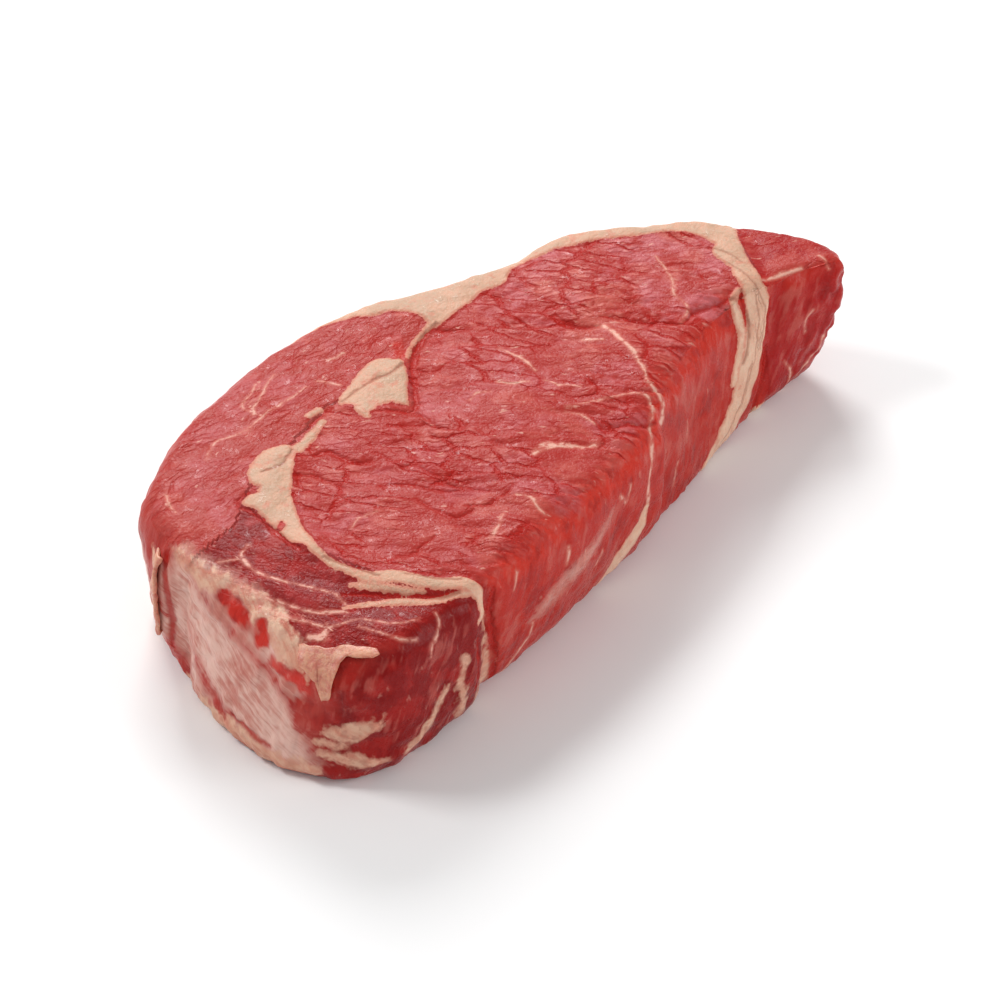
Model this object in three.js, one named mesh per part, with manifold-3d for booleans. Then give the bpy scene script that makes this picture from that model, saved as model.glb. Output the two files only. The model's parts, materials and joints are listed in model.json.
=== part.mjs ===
// A raw, thick-cut, boneless ribeye steak, lying flat on its lower cut face.
// Millimetres, +Z up. X runs along the steak, from the broad lip end at -X to the narrow tail at +X,
// and the origin is under its middle, on the surface that it lies on.
// The whole steak is one solid: lean, fat seams and silverskin are grown together.
import * as THREE from "three";
import { mergeVertices } from "three/addons/utils/BufferGeometryUtils.js";
import Module from "manifold-3d";

const THICKNESS = 39;
const SHOULDER_RADIUS = 6; // rounding between the upper cut face and the side
const SOFT_SHOULDER_RADIUS = 9; // the same on the long near side, where the eye muscle slumps
const TAIL_SHOULDER_RADIUS = 3.5; // the same around the tail, which is cut more crisply
const FOOT_RADIUS = 5; // rounding where the side turns under
const FOOT_DIP = 1.5; // how far the uncut body reaches below the surface that flattens it
const SIDE_BULGE = 1.1; // how far the side swells at mid height
const LEAN_POWER = 1.8; // above 1, the side keeps upright near the top and leans most at the foot

const COLUMNS = 90; // mesh cells along the steak
const ROWS = 30; // across it
const LAYERS = 11; // up its side
const RIM_STEPS = 900; // points at which the rim is measured
const ROUTE_STEP = 1.5; // spacing of the points at which a seam is measured

// The rim seen from above, anticlockwise from the near corner of the lip end.
// Each line is x and y of the rim, then x and y of the foot of the side below it.
const OUTLINE = [
  [-97, -34, -100.5, -34.5],
  [-91, -42, -92.5, -41.5],
  [-81, -45.5, -81.5, -44],
  [-70, -46.5, -70.5, -45],
  [-60, -48.5, -59, -44],
  [-46, -49, -46, -45],
  [-25, -50, -25, -45.5],
  [-3, -50, -3, -46],
  [14, -48.5, 14, -46],
  [33, -43, 33, -45],
  [50, -39.5, 50, -44],
  [66, -38.5, 66, -42.5],
  [80, -41, 79, -43],
  [92, -46, 87.5, -43.5],
  [102, -50, 96, -42.5],
  [105, -41.5, 98.5, -35.5],
  [102, -27, 97.5, -25],
  [95, -12, 91, -12.5],
  [83.5, 2.5, 80, 1],
  [73.5, 14, 71, 12],
  [63, 19.5, 61.5, 17.5],
  [50.5, 22, 50, 20],
  [34, 30.5, 33, 28.5],
  [18, 40, 17, 38],
  [-3, 48, -4, 45.5],
  [-28, 50.3, -28, 48],
  [-52, 49.3, -52, 47],
  [-75.5, 41.5, -74.5, 40],
  [-85.5, 31, -82.5, 30.5],
  [-91.5, 19, -91.5, 18.5],
  [-94, 7, -99, 6.5],
  [-96.5, -7, -104.5, -7],
  [-98.5, -21, -105.5, -21.5],
];

// Where the four corners of the mesh lie on the rim, as shares of its length.
const TAIL_NEAR_CORNER = 0.385;
const TAIL_FAR_CORNER = 0.462;
const LIP_FAR_CORNER = 0.872;

// Fat seams, fat kernels and gaps between the muscles of the upper cut face: the middle line of
// each, half its width, and how far it stands up (fat) or sinks (gap).
const SEAMS = {
  lowerKernel: { route: [[-46, 20], [-55, 19], [-64, 12], [-66, 3], [-70, -5]], half: 4.8, rise: 0.8 },
  lipRidge: { route: [[-70, -5], [-71, -16], [-70, -27], [-66, -36], [-60, -45]], half: 4, rise: 1.3 },
  upperKernel: { route: [[-3, 17], [-11, 17], [-19, 15]], half: 6, rise: 0.6 },
  farCapFat: { route: [[44, 19], [30, 22], [19, 30], [8, 41]], half: 5, rise: 0.4 },
  tailSeam: { route: [[78, 3], [84, -9], [89, -18], [86, -26], [79, -35], [76, -40]], half: 4.5, rise: 0.9 },
  eyeVein: { route: [[41, -15], [38, -26], [30, -36], [23, -44]], half: 3, rise: 0.5 },
  capGap: { route: [[17, 18], [7, 18], [-1, 12], [-7, 8], [-13, 3]], half: 3.2, rise: -0.9 },
  eyeGap: { route: [[34, -3], [40, -13], [47, -20], [53, -29], [66, -35]], half: 3.6, rise: -1 },
  tailGap: { route: [[97, -19], [93, -27], [86, -34], [82, -40]], half: 2.8, rise: -0.9 },
  firstLipGap: { route: [[-79, 8], [-82, -2], [-80, -15], [-77, -25], [-69, -38]], half: 3.4, rise: -0.7 },
  secondLipGap: { route: [[-92, 3], [-91, -11], [-86, -22], [-77, -32], [-67, -43]], half: 3.4, rise: -0.6 },
};

// Low swellings of the upper cut face: middle, half length, half width, turn in degrees, rise.
const SWELLINGS = [
  { x: -20, y: -16, along: 50, across: 22, turn: 0, rise: 0.9 },
  { x: 56, y: -12, along: 28, across: 16, turn: -35, rise: 0.6 },
  { x: -52, y: 32, along: 42, across: 12, turn: 22, rise: 0.6 },
  { x: -84, y: -14, along: 9, across: 26, turn: 0, rise: 0.5 },
  { x: 4, y: -40, along: 16, across: 7, turn: 5, rise: -0.8 },
];

// Upright folds on the side: where the fold meets the rim, half its width, how far it stands out
// or sinks, how far it slants along X on the way down, and the heights between which it runs.
const FOLDS = {
  lipNotch: { x: -58, y: -49, half: 3, rise: -3, slant: 2, low: 0, high: 39 },
  notchFat: { x: -60, y: -48, half: 4, rise: 1, slant: 2, low: 0, high: 15 },
  lipFat: { x: -66, y: -47, half: 3, rise: 1.2, slant: 3, low: 0, high: 18 },
  eyeVeinStep: { x: 19, y: -48, half: 2.8, rise: 1.3, slant: -6, low: 8, high: 39 },
  eyeVeinHollow: { x: 26, y: -46, half: 4, rise: -1.4, slant: -4, low: 6, high: 36 },
  tailSeamBand: { x: 75, y: -40, half: 5.5, rise: 1.2, slant: -13, low: 8, high: 39 },
  tailSeamGap: { x: 84, y: -42, half: 2.8, rise: -2.2, slant: -12, low: 4, high: 37 },
  lipEndCrevice: { x: -92, y: 17, half: 2.6, rise: -2.4, slant: 0, low: 4, high: 37 },
  lipEndStrip: { x: -90, y: 24, half: 3.6, rise: 1.8, slant: 0, low: 10, high: 36 },
};

// The torn fat flap over the near corner of the lip end: middle, half sizes and how far it stands out.
const FLAP = { x: -97, y: -33, z: 31, around: 8, up: 7, rise: 2 };

// The lip end and the tail slope down towards their ends.
const LIP_SLOPE = { start: -74, end: -100, drop: 3.2 };
const TAIL_SLOPE = { start: 84, end: 105, drop: 1 };

const UPRIGHT = Math.PI / 2;
const closedCurve = (points) => {
  const curve = new THREE.CatmullRomCurve3(points, true, "centripetal");
  curve.arcLengthDivisions = 4000;
  return curve;
};
const rimCurve = closedCurve(OUTLINE.map(([x, y]) => new THREE.Vector3(x, y, 0)));
const footCurve = closedCurve(OUTLINE.map(([, , x, y]) => new THREE.Vector3(x, y, 0)));

// A point of the rim from its share of the rim's length, with its outward normal and how far away
// the foot of the side is, seen from above.
function rimAt(share) {
  const place = rimCurve.getUtoTmapping(share);
  const point = rimCurve.getPoint(place);
  const foot = footCurve.getPoint(place);
  const tangent = rimCurve.getTangent(place);
  return {
    x: point.x,
    y: point.y,
    normalX: tangent.y,
    normalY: -tangent.x,
    leanX: foot.x - point.x,
    leanY: foot.y - point.y,
  };
}

const rim = Array.from({ length: RIM_STEPS }, (_, i) => rimAt(i / RIM_STEPS));

const seams = Object.values(SEAMS).map(({ route, half, rise }) => {
  const curve = new THREE.CatmullRomCurve3(route.map(([x, y]) => new THREE.Vector3(x, y, 0)));
  return { half, rise, points: curve.getSpacedPoints(Math.ceil(curve.getLength() / ROUTE_STEP)) };
});

const smooth = (from, to, value) => THREE.MathUtils.smoothstep((value - from) / (to - from), 0, 1);
const bell = (distance, half) => Math.exp(-((distance / half) ** 2));

// The rim point nearest to a place seen from above, and how far away it is.
function nearestRim(x, y) {
  let nearest = rim[0];
  let least = Infinity;
  for (const point of rim) {
    const distance = Math.hypot(point.x - x, point.y - y);
    if (distance < least) {
      least = distance;
      nearest = point;
    }
  }
  return { point: nearest, distance: least };
}

// The rim shares that bound the patch at a share along and a share across the steak.
const nearShare = (along) => along * TAIL_NEAR_CORNER;
const farShare = (along) => LIP_FAR_CORNER + (TAIL_FAR_CORNER - LIP_FAR_CORNER) * along;
const lipShare = (across) => 1 + (LIP_FAR_CORNER - 1) * across;
const tailShare = (across) => TAIL_NEAR_CORNER + (TAIL_FAR_CORNER - TAIL_NEAR_CORNER) * across;

// A place inside a closed edge from its shares along and across: a patch stretched evenly
// between the near side, the far side, the lip end and the tail end.
function placeInside(along, across, edgeAt) {
  const near = edgeAt(nearShare(along));
  const far = edgeAt(farShare(along));
  const lip = edgeAt(lipShare(across));
  const tail = edgeAt(tailShare(across));
  const corners = [edgeAt(0), edgeAt(TAIL_NEAR_CORNER), edgeAt(LIP_FAR_CORNER), edgeAt(TAIL_FAR_CORNER)];
  const blend = (axis) =>
    (1 - across) * near[axis] +
    across * far[axis] +
    (1 - along) * lip[axis] +
    along * tail[axis] -
    (1 - along) * (1 - across) * corners[0][axis] -
    along * (1 - across) * corners[1][axis] -
    (1 - along) * across * corners[2][axis] -
    along * across * corners[3][axis];
  return { x: blend("x"), y: blend("y") };
}

// How far the upper cut face lies above or below an even plane.
function faceRelief(x, y) {
  let relief = 0.3 * Math.sin(x / 13 + 1.3) * Math.cos(y / 11 + 0.4) + 0.2 * Math.sin((x - y) / 7);
  for (const { x: middleX, y: middleY, along, across, turn, rise } of SWELLINGS) {
    const angle = THREE.MathUtils.degToRad(turn);
    const dx = (x - middleX) * Math.cos(angle) + (y - middleY) * Math.sin(angle);
    const dy = (y - middleY) * Math.cos(angle) - (x - middleX) * Math.sin(angle);
    relief += rise * bell(Math.hypot(dx / along, dy / across), 1);
  }
  for (const { half, rise, points } of seams) {
    const distance = Math.min(...points.map((point) => Math.hypot(point.x - x, point.y - y)));
    relief += rise * bell(distance, half);
  }
  relief -= LIP_SLOPE.drop * smooth(LIP_SLOPE.start, LIP_SLOPE.end, x) ** 2;
  relief -= TAIL_SLOPE.drop * smooth(TAIL_SLOPE.start, TAIL_SLOPE.end, x) ** 2;
  return relief;
}

// How far the side stands out from or sinks below its even surface at a height.
function sideRelief(x, y, z) {
  let relief = 0.3 * Math.sin(x / 6 + z / 9) * Math.cos(y / 8 - z / 7);
  for (const fold of Object.values(FOLDS)) {
    const x0 = fold.x + fold.slant * (1 - z / THICKNESS);
    const ends = smooth(fold.low - 4, fold.low + 2, z) * (1 - smooth(fold.high - 3, fold.high + 3, z));
    relief += fold.rise * ends * bell(Math.hypot(x - x0, y - fold.y), fold.half);
  }
  const around = Math.hypot(x - FLAP.x, y - FLAP.y) / FLAP.around;
  return relief + FLAP.rise * bell(Math.hypot(around, (z - FLAP.z) / FLAP.up), 1) ** 0.6;
}

// The shoulder is softer on the long near side than elsewhere, and sharper at the tail.
function shoulderRadius({ x, y }) {
  const softness = smooth(-60, -30, x) * (1 - smooth(60, 76, x)) * smooth(0, -30, y);
  const sharpness = smooth(84, 98, x);
  return (
    SHOULDER_RADIUS +
    (SOFT_SHOULDER_RADIUS - SHOULDER_RADIUS) * softness +
    (TAIL_SHOULDER_RADIUS - SHOULDER_RADIUS) * sharpness
  );
}

// A point of the side from its share of the rim and its share of the way up.
function onSide(share, height) {
  const point = rimAt(share);
  const radius = shoulderRadius(point);
  const shoulderTop = THICKNESS - radius * (1 - Math.cos(UPRIGHT / 2));
  const z = -FOOT_DIP + (shoulderTop + FOOT_DIP) * height;
  const overShoulder = Math.max(0, z - (THICKNESS - radius));
  const underFoot = Math.max(0, FOOT_RADIUS - FOOT_DIP - z);
  const shoulderInset = radius - Math.sqrt(radius ** 2 - overShoulder ** 2);
  const footInset = FOOT_RADIUS - Math.sqrt(FOOT_RADIUS ** 2 - underFoot ** 2);
  const below = THREE.MathUtils.clamp(1 - z / shoulderTop, 0, 1);
  const relief = sideRelief(point.x, point.y, z) * smooth(1, 0.88, height);
  const out = SIDE_BULGE * Math.sin(Math.PI * below) - shoulderInset - footInset + relief;
  return {
    x: point.x + point.leanX * below ** LEAN_POWER + point.normalX * out,
    y: point.y + point.leanY * below ** LEAN_POWER + point.normalY * out,
    z: z + faceRelief(point.x, point.y) * height ** 4,
  };
}

// A point of the upper cut face, with the shoulder rolled down towards the rim.
function onUpperFace(along, across) {
  const { x, y } = placeInside(along, across, rimAt);
  const { point, distance } = nearestRim(x, y);
  const radius = shoulderRadius(point);
  const roll = (UPRIGHT / 2) * Math.max(0, 1 - distance / radius);
  const out = distance < radius ? distance - radius + radius * Math.sin(roll) : 0;
  return {
    x: x + point.normalX * out,
    y: y + point.normalY * out,
    z: THICKNESS - radius * (1 - Math.cos(roll)) + faceRelief(x, y),
  };
}

// A point of the lower face before it is cut flat.
function onLowerFace(along, across) {
  const { x, y } = placeInside(along, across, (share) => onSide(share, 0));
  return { x, y, z: -FOOT_DIP };
}

// Where a point of the block goes, from its shares along, across and up.
function placeOnSteak(along, across, height) {
  const edge = 1e-6;
  if (along < edge || along > 1 - edge || across < edge || across > 1 - edge) {
    const near = across < edge;
    const far = across > 1 - edge;
    const endShare = along < edge ? lipShare(across) : tailShare(across);
    return onSide(near ? nearShare(along) : far ? farShare(along) : endShare, height);
  }
  return height > 0.5 ? onUpperFace(along, across) : onLowerFace(along, across);
}

// The uncut body: a block of cells, each point of which is moved to its place on the steak.
function steakBody() {
  const geometry = new THREE.BoxGeometry(1, 1, 1, COLUMNS, ROWS, LAYERS).translate(0.5, 0.5, 0.5);
  geometry.deleteAttribute("normal");
  geometry.deleteAttribute("uv");
  const welded = mergeVertices(geometry, 1e-5);
  const position = welded.getAttribute("position");
  for (let i = 0; i < position.count; i++) {
    const { x, y, z } = placeOnSteak(position.getX(i), position.getY(i), position.getZ(i));
    position.setXYZ(i, x, y, z);
  }
  return welded;
}

const wasm = await Module();
wasm.setup();

function toSolid(geometry) {
  const bare = geometry.clone();
  bare.deleteAttribute("normal");
  bare.deleteAttribute("uv");
  const welded = mergeVertices(bare, 1e-4);
  return new wasm.Manifold(
    new wasm.Mesh({
      numProp: 3,
      vertProperties: new Float32Array(welded.getAttribute("position").array),
      triVerts: new Uint32Array(welded.index.array),
    }),
  );
}

function toGeometry(solid) {
  const { numProp, vertProperties, triVerts } = solid.getMesh();
  const positions = new Float32Array((vertProperties.length / numProp) * 3);
  for (let i = 0; i < positions.length / 3; i++) {
    positions.set(vertProperties.subarray(i * numProp, i * numProp + 3), i * 3);
  }
  const geometry = new THREE.BufferGeometry();
  geometry.setAttribute("position", new THREE.BufferAttribute(positions, 3));
  geometry.setIndex(new THREE.BufferAttribute(new Uint32Array(triVerts), 1));
  geometry.computeVertexNormals();
  return geometry;
}

// The surface that the steak lies on presses its lower face flat.
function layFlat(body) {
  const board = new THREE.BoxGeometry(400, 300, 50).translate(0, 0, -25);
  return toSolid(body).subtract(toSolid(board));
}

const rawBeef = new THREE.MeshStandardMaterial({ color: 0xb8574d, roughness: 0.45, metalness: 0 });
const steak = new THREE.Mesh(toGeometry(layFlat(steakBody())), rawBeef);
steak.name = "steak";

const group = new THREE.Group();
group.add(steak);

export default group;
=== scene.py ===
"""A raw, thick-cut, boneless ribeye steak lying on its lower cut face.

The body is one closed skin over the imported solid: it is refined, its muscles, fat seams, gaps and
silverskin are modelled as relief, and the same lines then colour it. Torn scraps are pieces of
their own. Lengths in this file are millimetres unless a name says metres.
"""

import json
import logging
import math
from collections.abc import Callable, Iterator
from contextlib import contextmanager
from dataclasses import dataclass, field
from enum import Enum

import bpy
import numpy as np
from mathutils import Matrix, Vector
from mathutils.bvhtree import BVHTree
from mathutils.geometry import delaunay_2d_cdt
from mathutils.noise import voronoi

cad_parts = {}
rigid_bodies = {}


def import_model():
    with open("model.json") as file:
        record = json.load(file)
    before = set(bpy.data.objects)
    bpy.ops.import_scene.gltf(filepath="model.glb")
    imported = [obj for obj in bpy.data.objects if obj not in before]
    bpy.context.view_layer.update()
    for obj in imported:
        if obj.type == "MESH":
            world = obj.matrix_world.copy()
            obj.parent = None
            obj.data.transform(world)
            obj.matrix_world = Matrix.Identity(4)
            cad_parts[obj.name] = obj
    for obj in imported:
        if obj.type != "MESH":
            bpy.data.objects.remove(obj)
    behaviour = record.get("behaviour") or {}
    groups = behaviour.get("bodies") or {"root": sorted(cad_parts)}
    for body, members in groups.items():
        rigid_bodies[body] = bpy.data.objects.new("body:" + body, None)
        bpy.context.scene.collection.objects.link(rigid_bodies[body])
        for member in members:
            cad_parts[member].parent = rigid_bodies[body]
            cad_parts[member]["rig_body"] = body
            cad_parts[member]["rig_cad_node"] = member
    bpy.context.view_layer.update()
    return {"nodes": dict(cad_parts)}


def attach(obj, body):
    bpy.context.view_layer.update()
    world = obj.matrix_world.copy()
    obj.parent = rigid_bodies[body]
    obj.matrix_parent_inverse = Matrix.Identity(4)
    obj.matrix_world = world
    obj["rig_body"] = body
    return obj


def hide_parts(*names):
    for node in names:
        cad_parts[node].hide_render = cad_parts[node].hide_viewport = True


log = logging.getLogger("ribeye")

# Numbers in pairs or as x and y; x, y and z; x, y, z and half width; red, green, blue and alpha.
Spot = tuple[float, float]
Place = tuple[float, float, float]
Point = tuple[float, float, float, float]
Colour = tuple[float, float, float, float]

MM = 0.001
FAR_AWAY = 9.0  # from here on a strand no longer counts
TINY = 1e-9

# The curve between a screen's values and light.
SCREEN_KNEE, SCREEN_SLOPE = 0.04045, 12.92
SCREEN_OFFSET, SCREEN_SCALE, SCREEN_POWER = 0.055, 1.055, 2.4


def linear(red: int, green: int, blue: int) -> Colour:
    """Turn a colour as seen on a screen into the linear colour that a shader takes.

    Args:
        red: red from 0 to 255.
        green: green from 0 to 255.
        blue: blue from 0 to 255.

    Returns:
        The linear colour with an alpha of 1.
    """
    shares = [value / 255 for value in (red, green, blue)]
    levels = [
        s / SCREEN_SLOPE if s <= SCREEN_KNEE else ((s + SCREEN_OFFSET) / SCREEN_SCALE) ** SCREEN_POWER
        for s in shares
    ]
    return levels[0], levels[1], levels[2], 1.0


def ease(low: float, high: float, value: np.ndarray) -> np.ndarray:
    """Go smoothly from 0 at low to 1 at high, which may be the smaller of the two."""
    share = np.clip((value - low) / (high - low), 0, 1)
    return share * share * (3 - 2 * share)


def bell(value: np.ndarray, half: float | np.ndarray) -> np.ndarray:
    """Fall smoothly from 1 at zero to about a third at half."""
    return np.exp(-((value / half) ** 2))


def tinted(tone: np.ndarray, colour: Colour | np.ndarray, share: np.ndarray, most: float = 1.0) -> np.ndarray:
    """Move each vertex's tone towards a colour, by its share times most."""
    return tone + (np.array(colour) - tone) * share[:, None] * most


class Tissue(Enum):
    """What the strands on the steak are made of."""

    FAT = "fat"
    VEIN = "vein"
    GAP = "gap"
    FILM = "film"
    MOTTLE = "mottle"
    LEAN = "lean"


def smooth_line(points: np.ndarray, step: float) -> np.ndarray:
    """Run a smooth curve through the points.

    Args:
        points: rows of x, y, z and half width.
        step: the usual spacing of the new points.

    Returns:
        The curve's points, with half widths.
    """
    ends = np.vstack((2 * points[0] - points[1], points, 2 * points[-1] - points[-2]))
    ends[:, 3] = np.clip(ends[:, 3], points[:, 3].min(), points[:, 3].max())
    rows = []
    for start in range(len(points) - 1):
        before, first, last, after = ends[start : start + 4]
        count = max(1, round(float(np.linalg.norm((last - first)[:3])) / step))
        for share in np.arange(count) / count:
            rows.append(
                first
                + 0.5 * share * (last - before)
                + share**2 * (before - 2.5 * first + 2 * last - 0.5 * after)
                + share**3 * (1.5 * (first - last) + 0.5 * (after - before))
            )
    rows.append(points[-1])
    return np.array(rows)


@dataclass(frozen=True)
class Slip:
    """How far the muscles shift between the upper face and the lower one."""

    reach: float = 3
    per_x: float = 0.11
    per_y: float = 0.07
    start: float = 1.3
    upper_face: float = 37  # a line with all of its points above this height lies on the upper face

    def at(self, x: float, y: float) -> float:
        """Give the shift at one place."""
        return self.reach * math.sin(self.per_x * x + self.per_y * y + self.start)


@dataclass(frozen=True)
class Strand:
    """A line on the surface: x, y, z and half width at each of its points."""

    points: tuple[Point, ...]

    def under(self, slip: Slip) -> "Strand | None":
        """Carry the line through to the lower face, if it lies on the upper one.

        Args:
            slip: the shift of the muscles.

        Returns:
            The line below, or None.
        """
        if min(point[2] for point in self.points) < slip.upper_face:
            return None
        shifts = [slip.at(x, y) for x, y, _, _ in self.points]
        return Strand(tuple((x + s, y - s, 0.0, half) for s, (x, y, _, half) in zip(shifts, self.points)))


def strands(*lines: tuple[Point, ...]) -> list[Strand]:
    """Make one strand from each line of points."""
    return [Strand(line) for line in lines]


@dataclass(frozen=True)
class Muscle:
    """The lean of one muscle: its colour, the way its grain runs, its share of painted sheen and its open
    cracks.
    """

    colour: Colour
    grain_degrees: float
    sheen: float
    openness: float


MUSCLES = {
    "eye": Muscle(linear(170, 50, 44), -52, 0.85, 1.0),
    "cap": Muscle(linear(170, 54, 46), -8, 0.75, 0.4),
    "lip": Muscle(linear(131, 15, 13), -80, 0.17, 0.25),
    "tail": Muscle(linear(161, 31, 30), -33, 0.33, 0.45),
}
BLOTCH = linear(206, 48, 36)
# Painted light: a brighter orange-red for the rounded shoulder where the cut face turns down to the near
# side.
SHOULDER_LIGHT = linear(214, 56, 40)
NEAR_SIDE = linear(181, 42, 31)
LIP_SIDE = linear(130, 10, 10)
TAIL_SIDE = linear(164, 26, 26)
FAR_SIDE = linear(174, 56, 47)

# Lines between the muscles of the cut face, seen from above.
CAP_LINE_X = (-95, -75, -60, -45, -26, -18, -5, 8, 18)
CAP_LINE_Y = (17, 14, 20, 21, 23, 21, 16, 18, 20)
LIP_LINE_Y = (-50, -45, -38, -30, -23, -10, -3, 8, 18)
LIP_LINE_X = (-60, -62, -65, -69, -70, -71.5, -71, -70, -66)
TAIL_LINE_Y = (-50, -42, -37, -30, -24, -18, -8)
TAIL_LINE_X = (78, 78, 81, 87, 91, 96, 104)

# Fat that fills an area of the cut face, as outlines seen from above.
FAT_PATCHES: dict[str, tuple[Spot, ...]] = {
    "cap_fat": (
        (-4, 47.2), (1.9, 43.1), (7.4, 38.7), (10.5, 35.3), (15.8, 31.3), (17.7, 28.1), (18, 25.1),
        (17.2, 21.9), (17.6, 19.4), (21.5, 18.6), (27.5, 17.8), (35.6, 17.9), (40, 15.4), (43, 15.4),
        (45.1, 16.5), (48.2, 17.2), (53, 16), (60.8, 12.8), (69.5, 6.6), (75, 0.4), (80.4, -5.6),
        (84.8, -11.7), (86, -16.2), (85, -21), (83, -25.1), (80, -28.6), (76.4, -31.8), (74, -36),
        (72, -46), (79, -46), (80.5, -38), (82.7, -34), (86.7, -29.5), (90.8, -24.8), (94.6, -21.7),
        (100, -18), (106, -16), (100, 10), (70, 30), (40, 45), (10, 56), (-2, 54),
    ),
    "upper_kernel": (
        (-5.5, 24.3), (-3, 23.9), (-0.1, 21), (0.8, 18.3), (-3.4, 13.7), (-9.1, 9.4), (-13, 6.3),
        (-14.4, 8.4), (-14.6, 10.6), (-18.6, 12.1), (-23, 12.2), (-21.7, 15.3), (-21.5, 18.6),
        (-23, 20.9), (-20.5, 22.2), (-13.5, 23.4), (-8, 24.2),
    ),
    "lower_kernel": (
        (-43.9, 22.4), (-43.1, 20.7), (-44.7, 17.8), (-48.5, 15.6), (-54.6, 11.6), (-58.1, 9.1),
        (-62.6, 4.2), (-66.8, -0.9), (-69.6, -6), (-71, -7), (-72.4, -3.1), (-72, -0.2), (-70.9, 3.8),
        (-68.8, 9), (-67.4, 13.1), (-67.2, 17.6), (-64.1, 17.8), (-62.2, 16.3), (-60.2, 17.2),
        (-60.4, 20), (-58, 23), (-54.5, 24.4), (-48.6, 24.8),
    ),
}

# Each line is x, y, z and half width at each of its points. They are moved onto the surface.
FAT_STRANDS = strands(
    # The ridge between the eye and the lip, and the two thinner strips beside it.
    (
        (-71, -6, 40, 1.3), (-73, -13.5, 40, 1.2), (-72.5, -20.5, 40, 1.5), (-71.5, -25, 40, 2),
        (-68.5, -28.5, 40, 2.3), (-66.5, -34, 40, 2), (-64, -39, 40, 2.1), (-61, -42.5, 40, 2.2),
        (-60, -45, 39, 2.1), (-59.5, -47, 36, 1.9), (-59.5, -47.5, 32, 1.6), (-62, -48, 31, 1.2),
    ),
    ((-76, -21.5, 39, 0.9), (-73, -27, 39, 1.2), (-70.5, -33, 39, 1.1), (-68, -37, 39, 0.6)),
    (
        (-83, -24.5, 38, 0.5), (-79, -28, 38, 1), (-74, -33.5, 38, 1.2), (-69.5, -40, 38, 1.1),
        (-65, -43.5, 39, 1), (-61, -46, 38, 0.9),
    ),
    # The thin strap between the two kernels, with its knobs.
    ((-31, 20, 39, 1.2), (-35, 19.5, 39, 1.4), (-38.5, 19, 39, 1.4), (-43, 18.5, 40, 1.6)),
    ((-31, 24, 39, 1), (-27.5, 23.5, 39, 1.1)),
    ((-22, 15.5, 40, 1.2), (-23, 12, 40, 1)),
    # The strip along the cap's gap.
    ((18, 21, 39, 1.2), (12.5, 21, 38, 0.7), (7.5, 20.5, 38, 0.7), (2.5, 18, 39, 0.7)),
    # The seam that runs down the near side in front of the tail, with its folded strip.
    (
        (84, -24, 40, 3), (81, -32.5, 40, 2.9), (77.5, -37, 39, 3.3), (75.5, -39, 36, 3.7),
        (73.5, -41, 31, 3.9), (71.5, -41.5, 23, 4.2), (68, -42, 16, 4.8), (64, -42, 10, 5),
        (58.5, -42.5, 6, 4.6), (52, -43.5, 3, 3.6), (46, -44, 2, 1.8),
    ),
    (
        (73, -35.5, 39, 0.9), (69.5, -36, 37, 1.3), (68.5, -38.5, 34, 1.5), (68, -40, 29, 1.5),
        (66, -41, 23, 1.5), (62.5, -41, 18, 1.5),
    ),
    # The fan at the foot of the eye's long vein.
    ((9, -49.5, 18, 1.4), (7.5, -49, 13.5, 3), (2.5, -48.5, 9, 4), (-3, -48, 6, 3), (-7.5, -47, 3, 2)),
    # The strip that hangs at the far end of the lip.
    ((-87, 29.5, 33, 1), (-90, 27, 27, 1.1), (-91, 26, 20, 1), (-91, 25.5, 14, 0.8)),
    # The cover of fat over the far side.
    (
        (-8, 48, 26, 11), (2, 45, 22, 16), (18, 39, 20, 18), (34, 29, 20, 19), (50, 21, 20, 19),
        (63, 18, 20, 19), (74, 12, 20, 19), (84, 1, 20, 18), (92, -10, 20, 16), (97, -18, 22, 9),
    ),
    ((-26, 49, 7, 3), (-18, 49, 10, 6), (-8, 48, 14, 9)),
)

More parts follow.
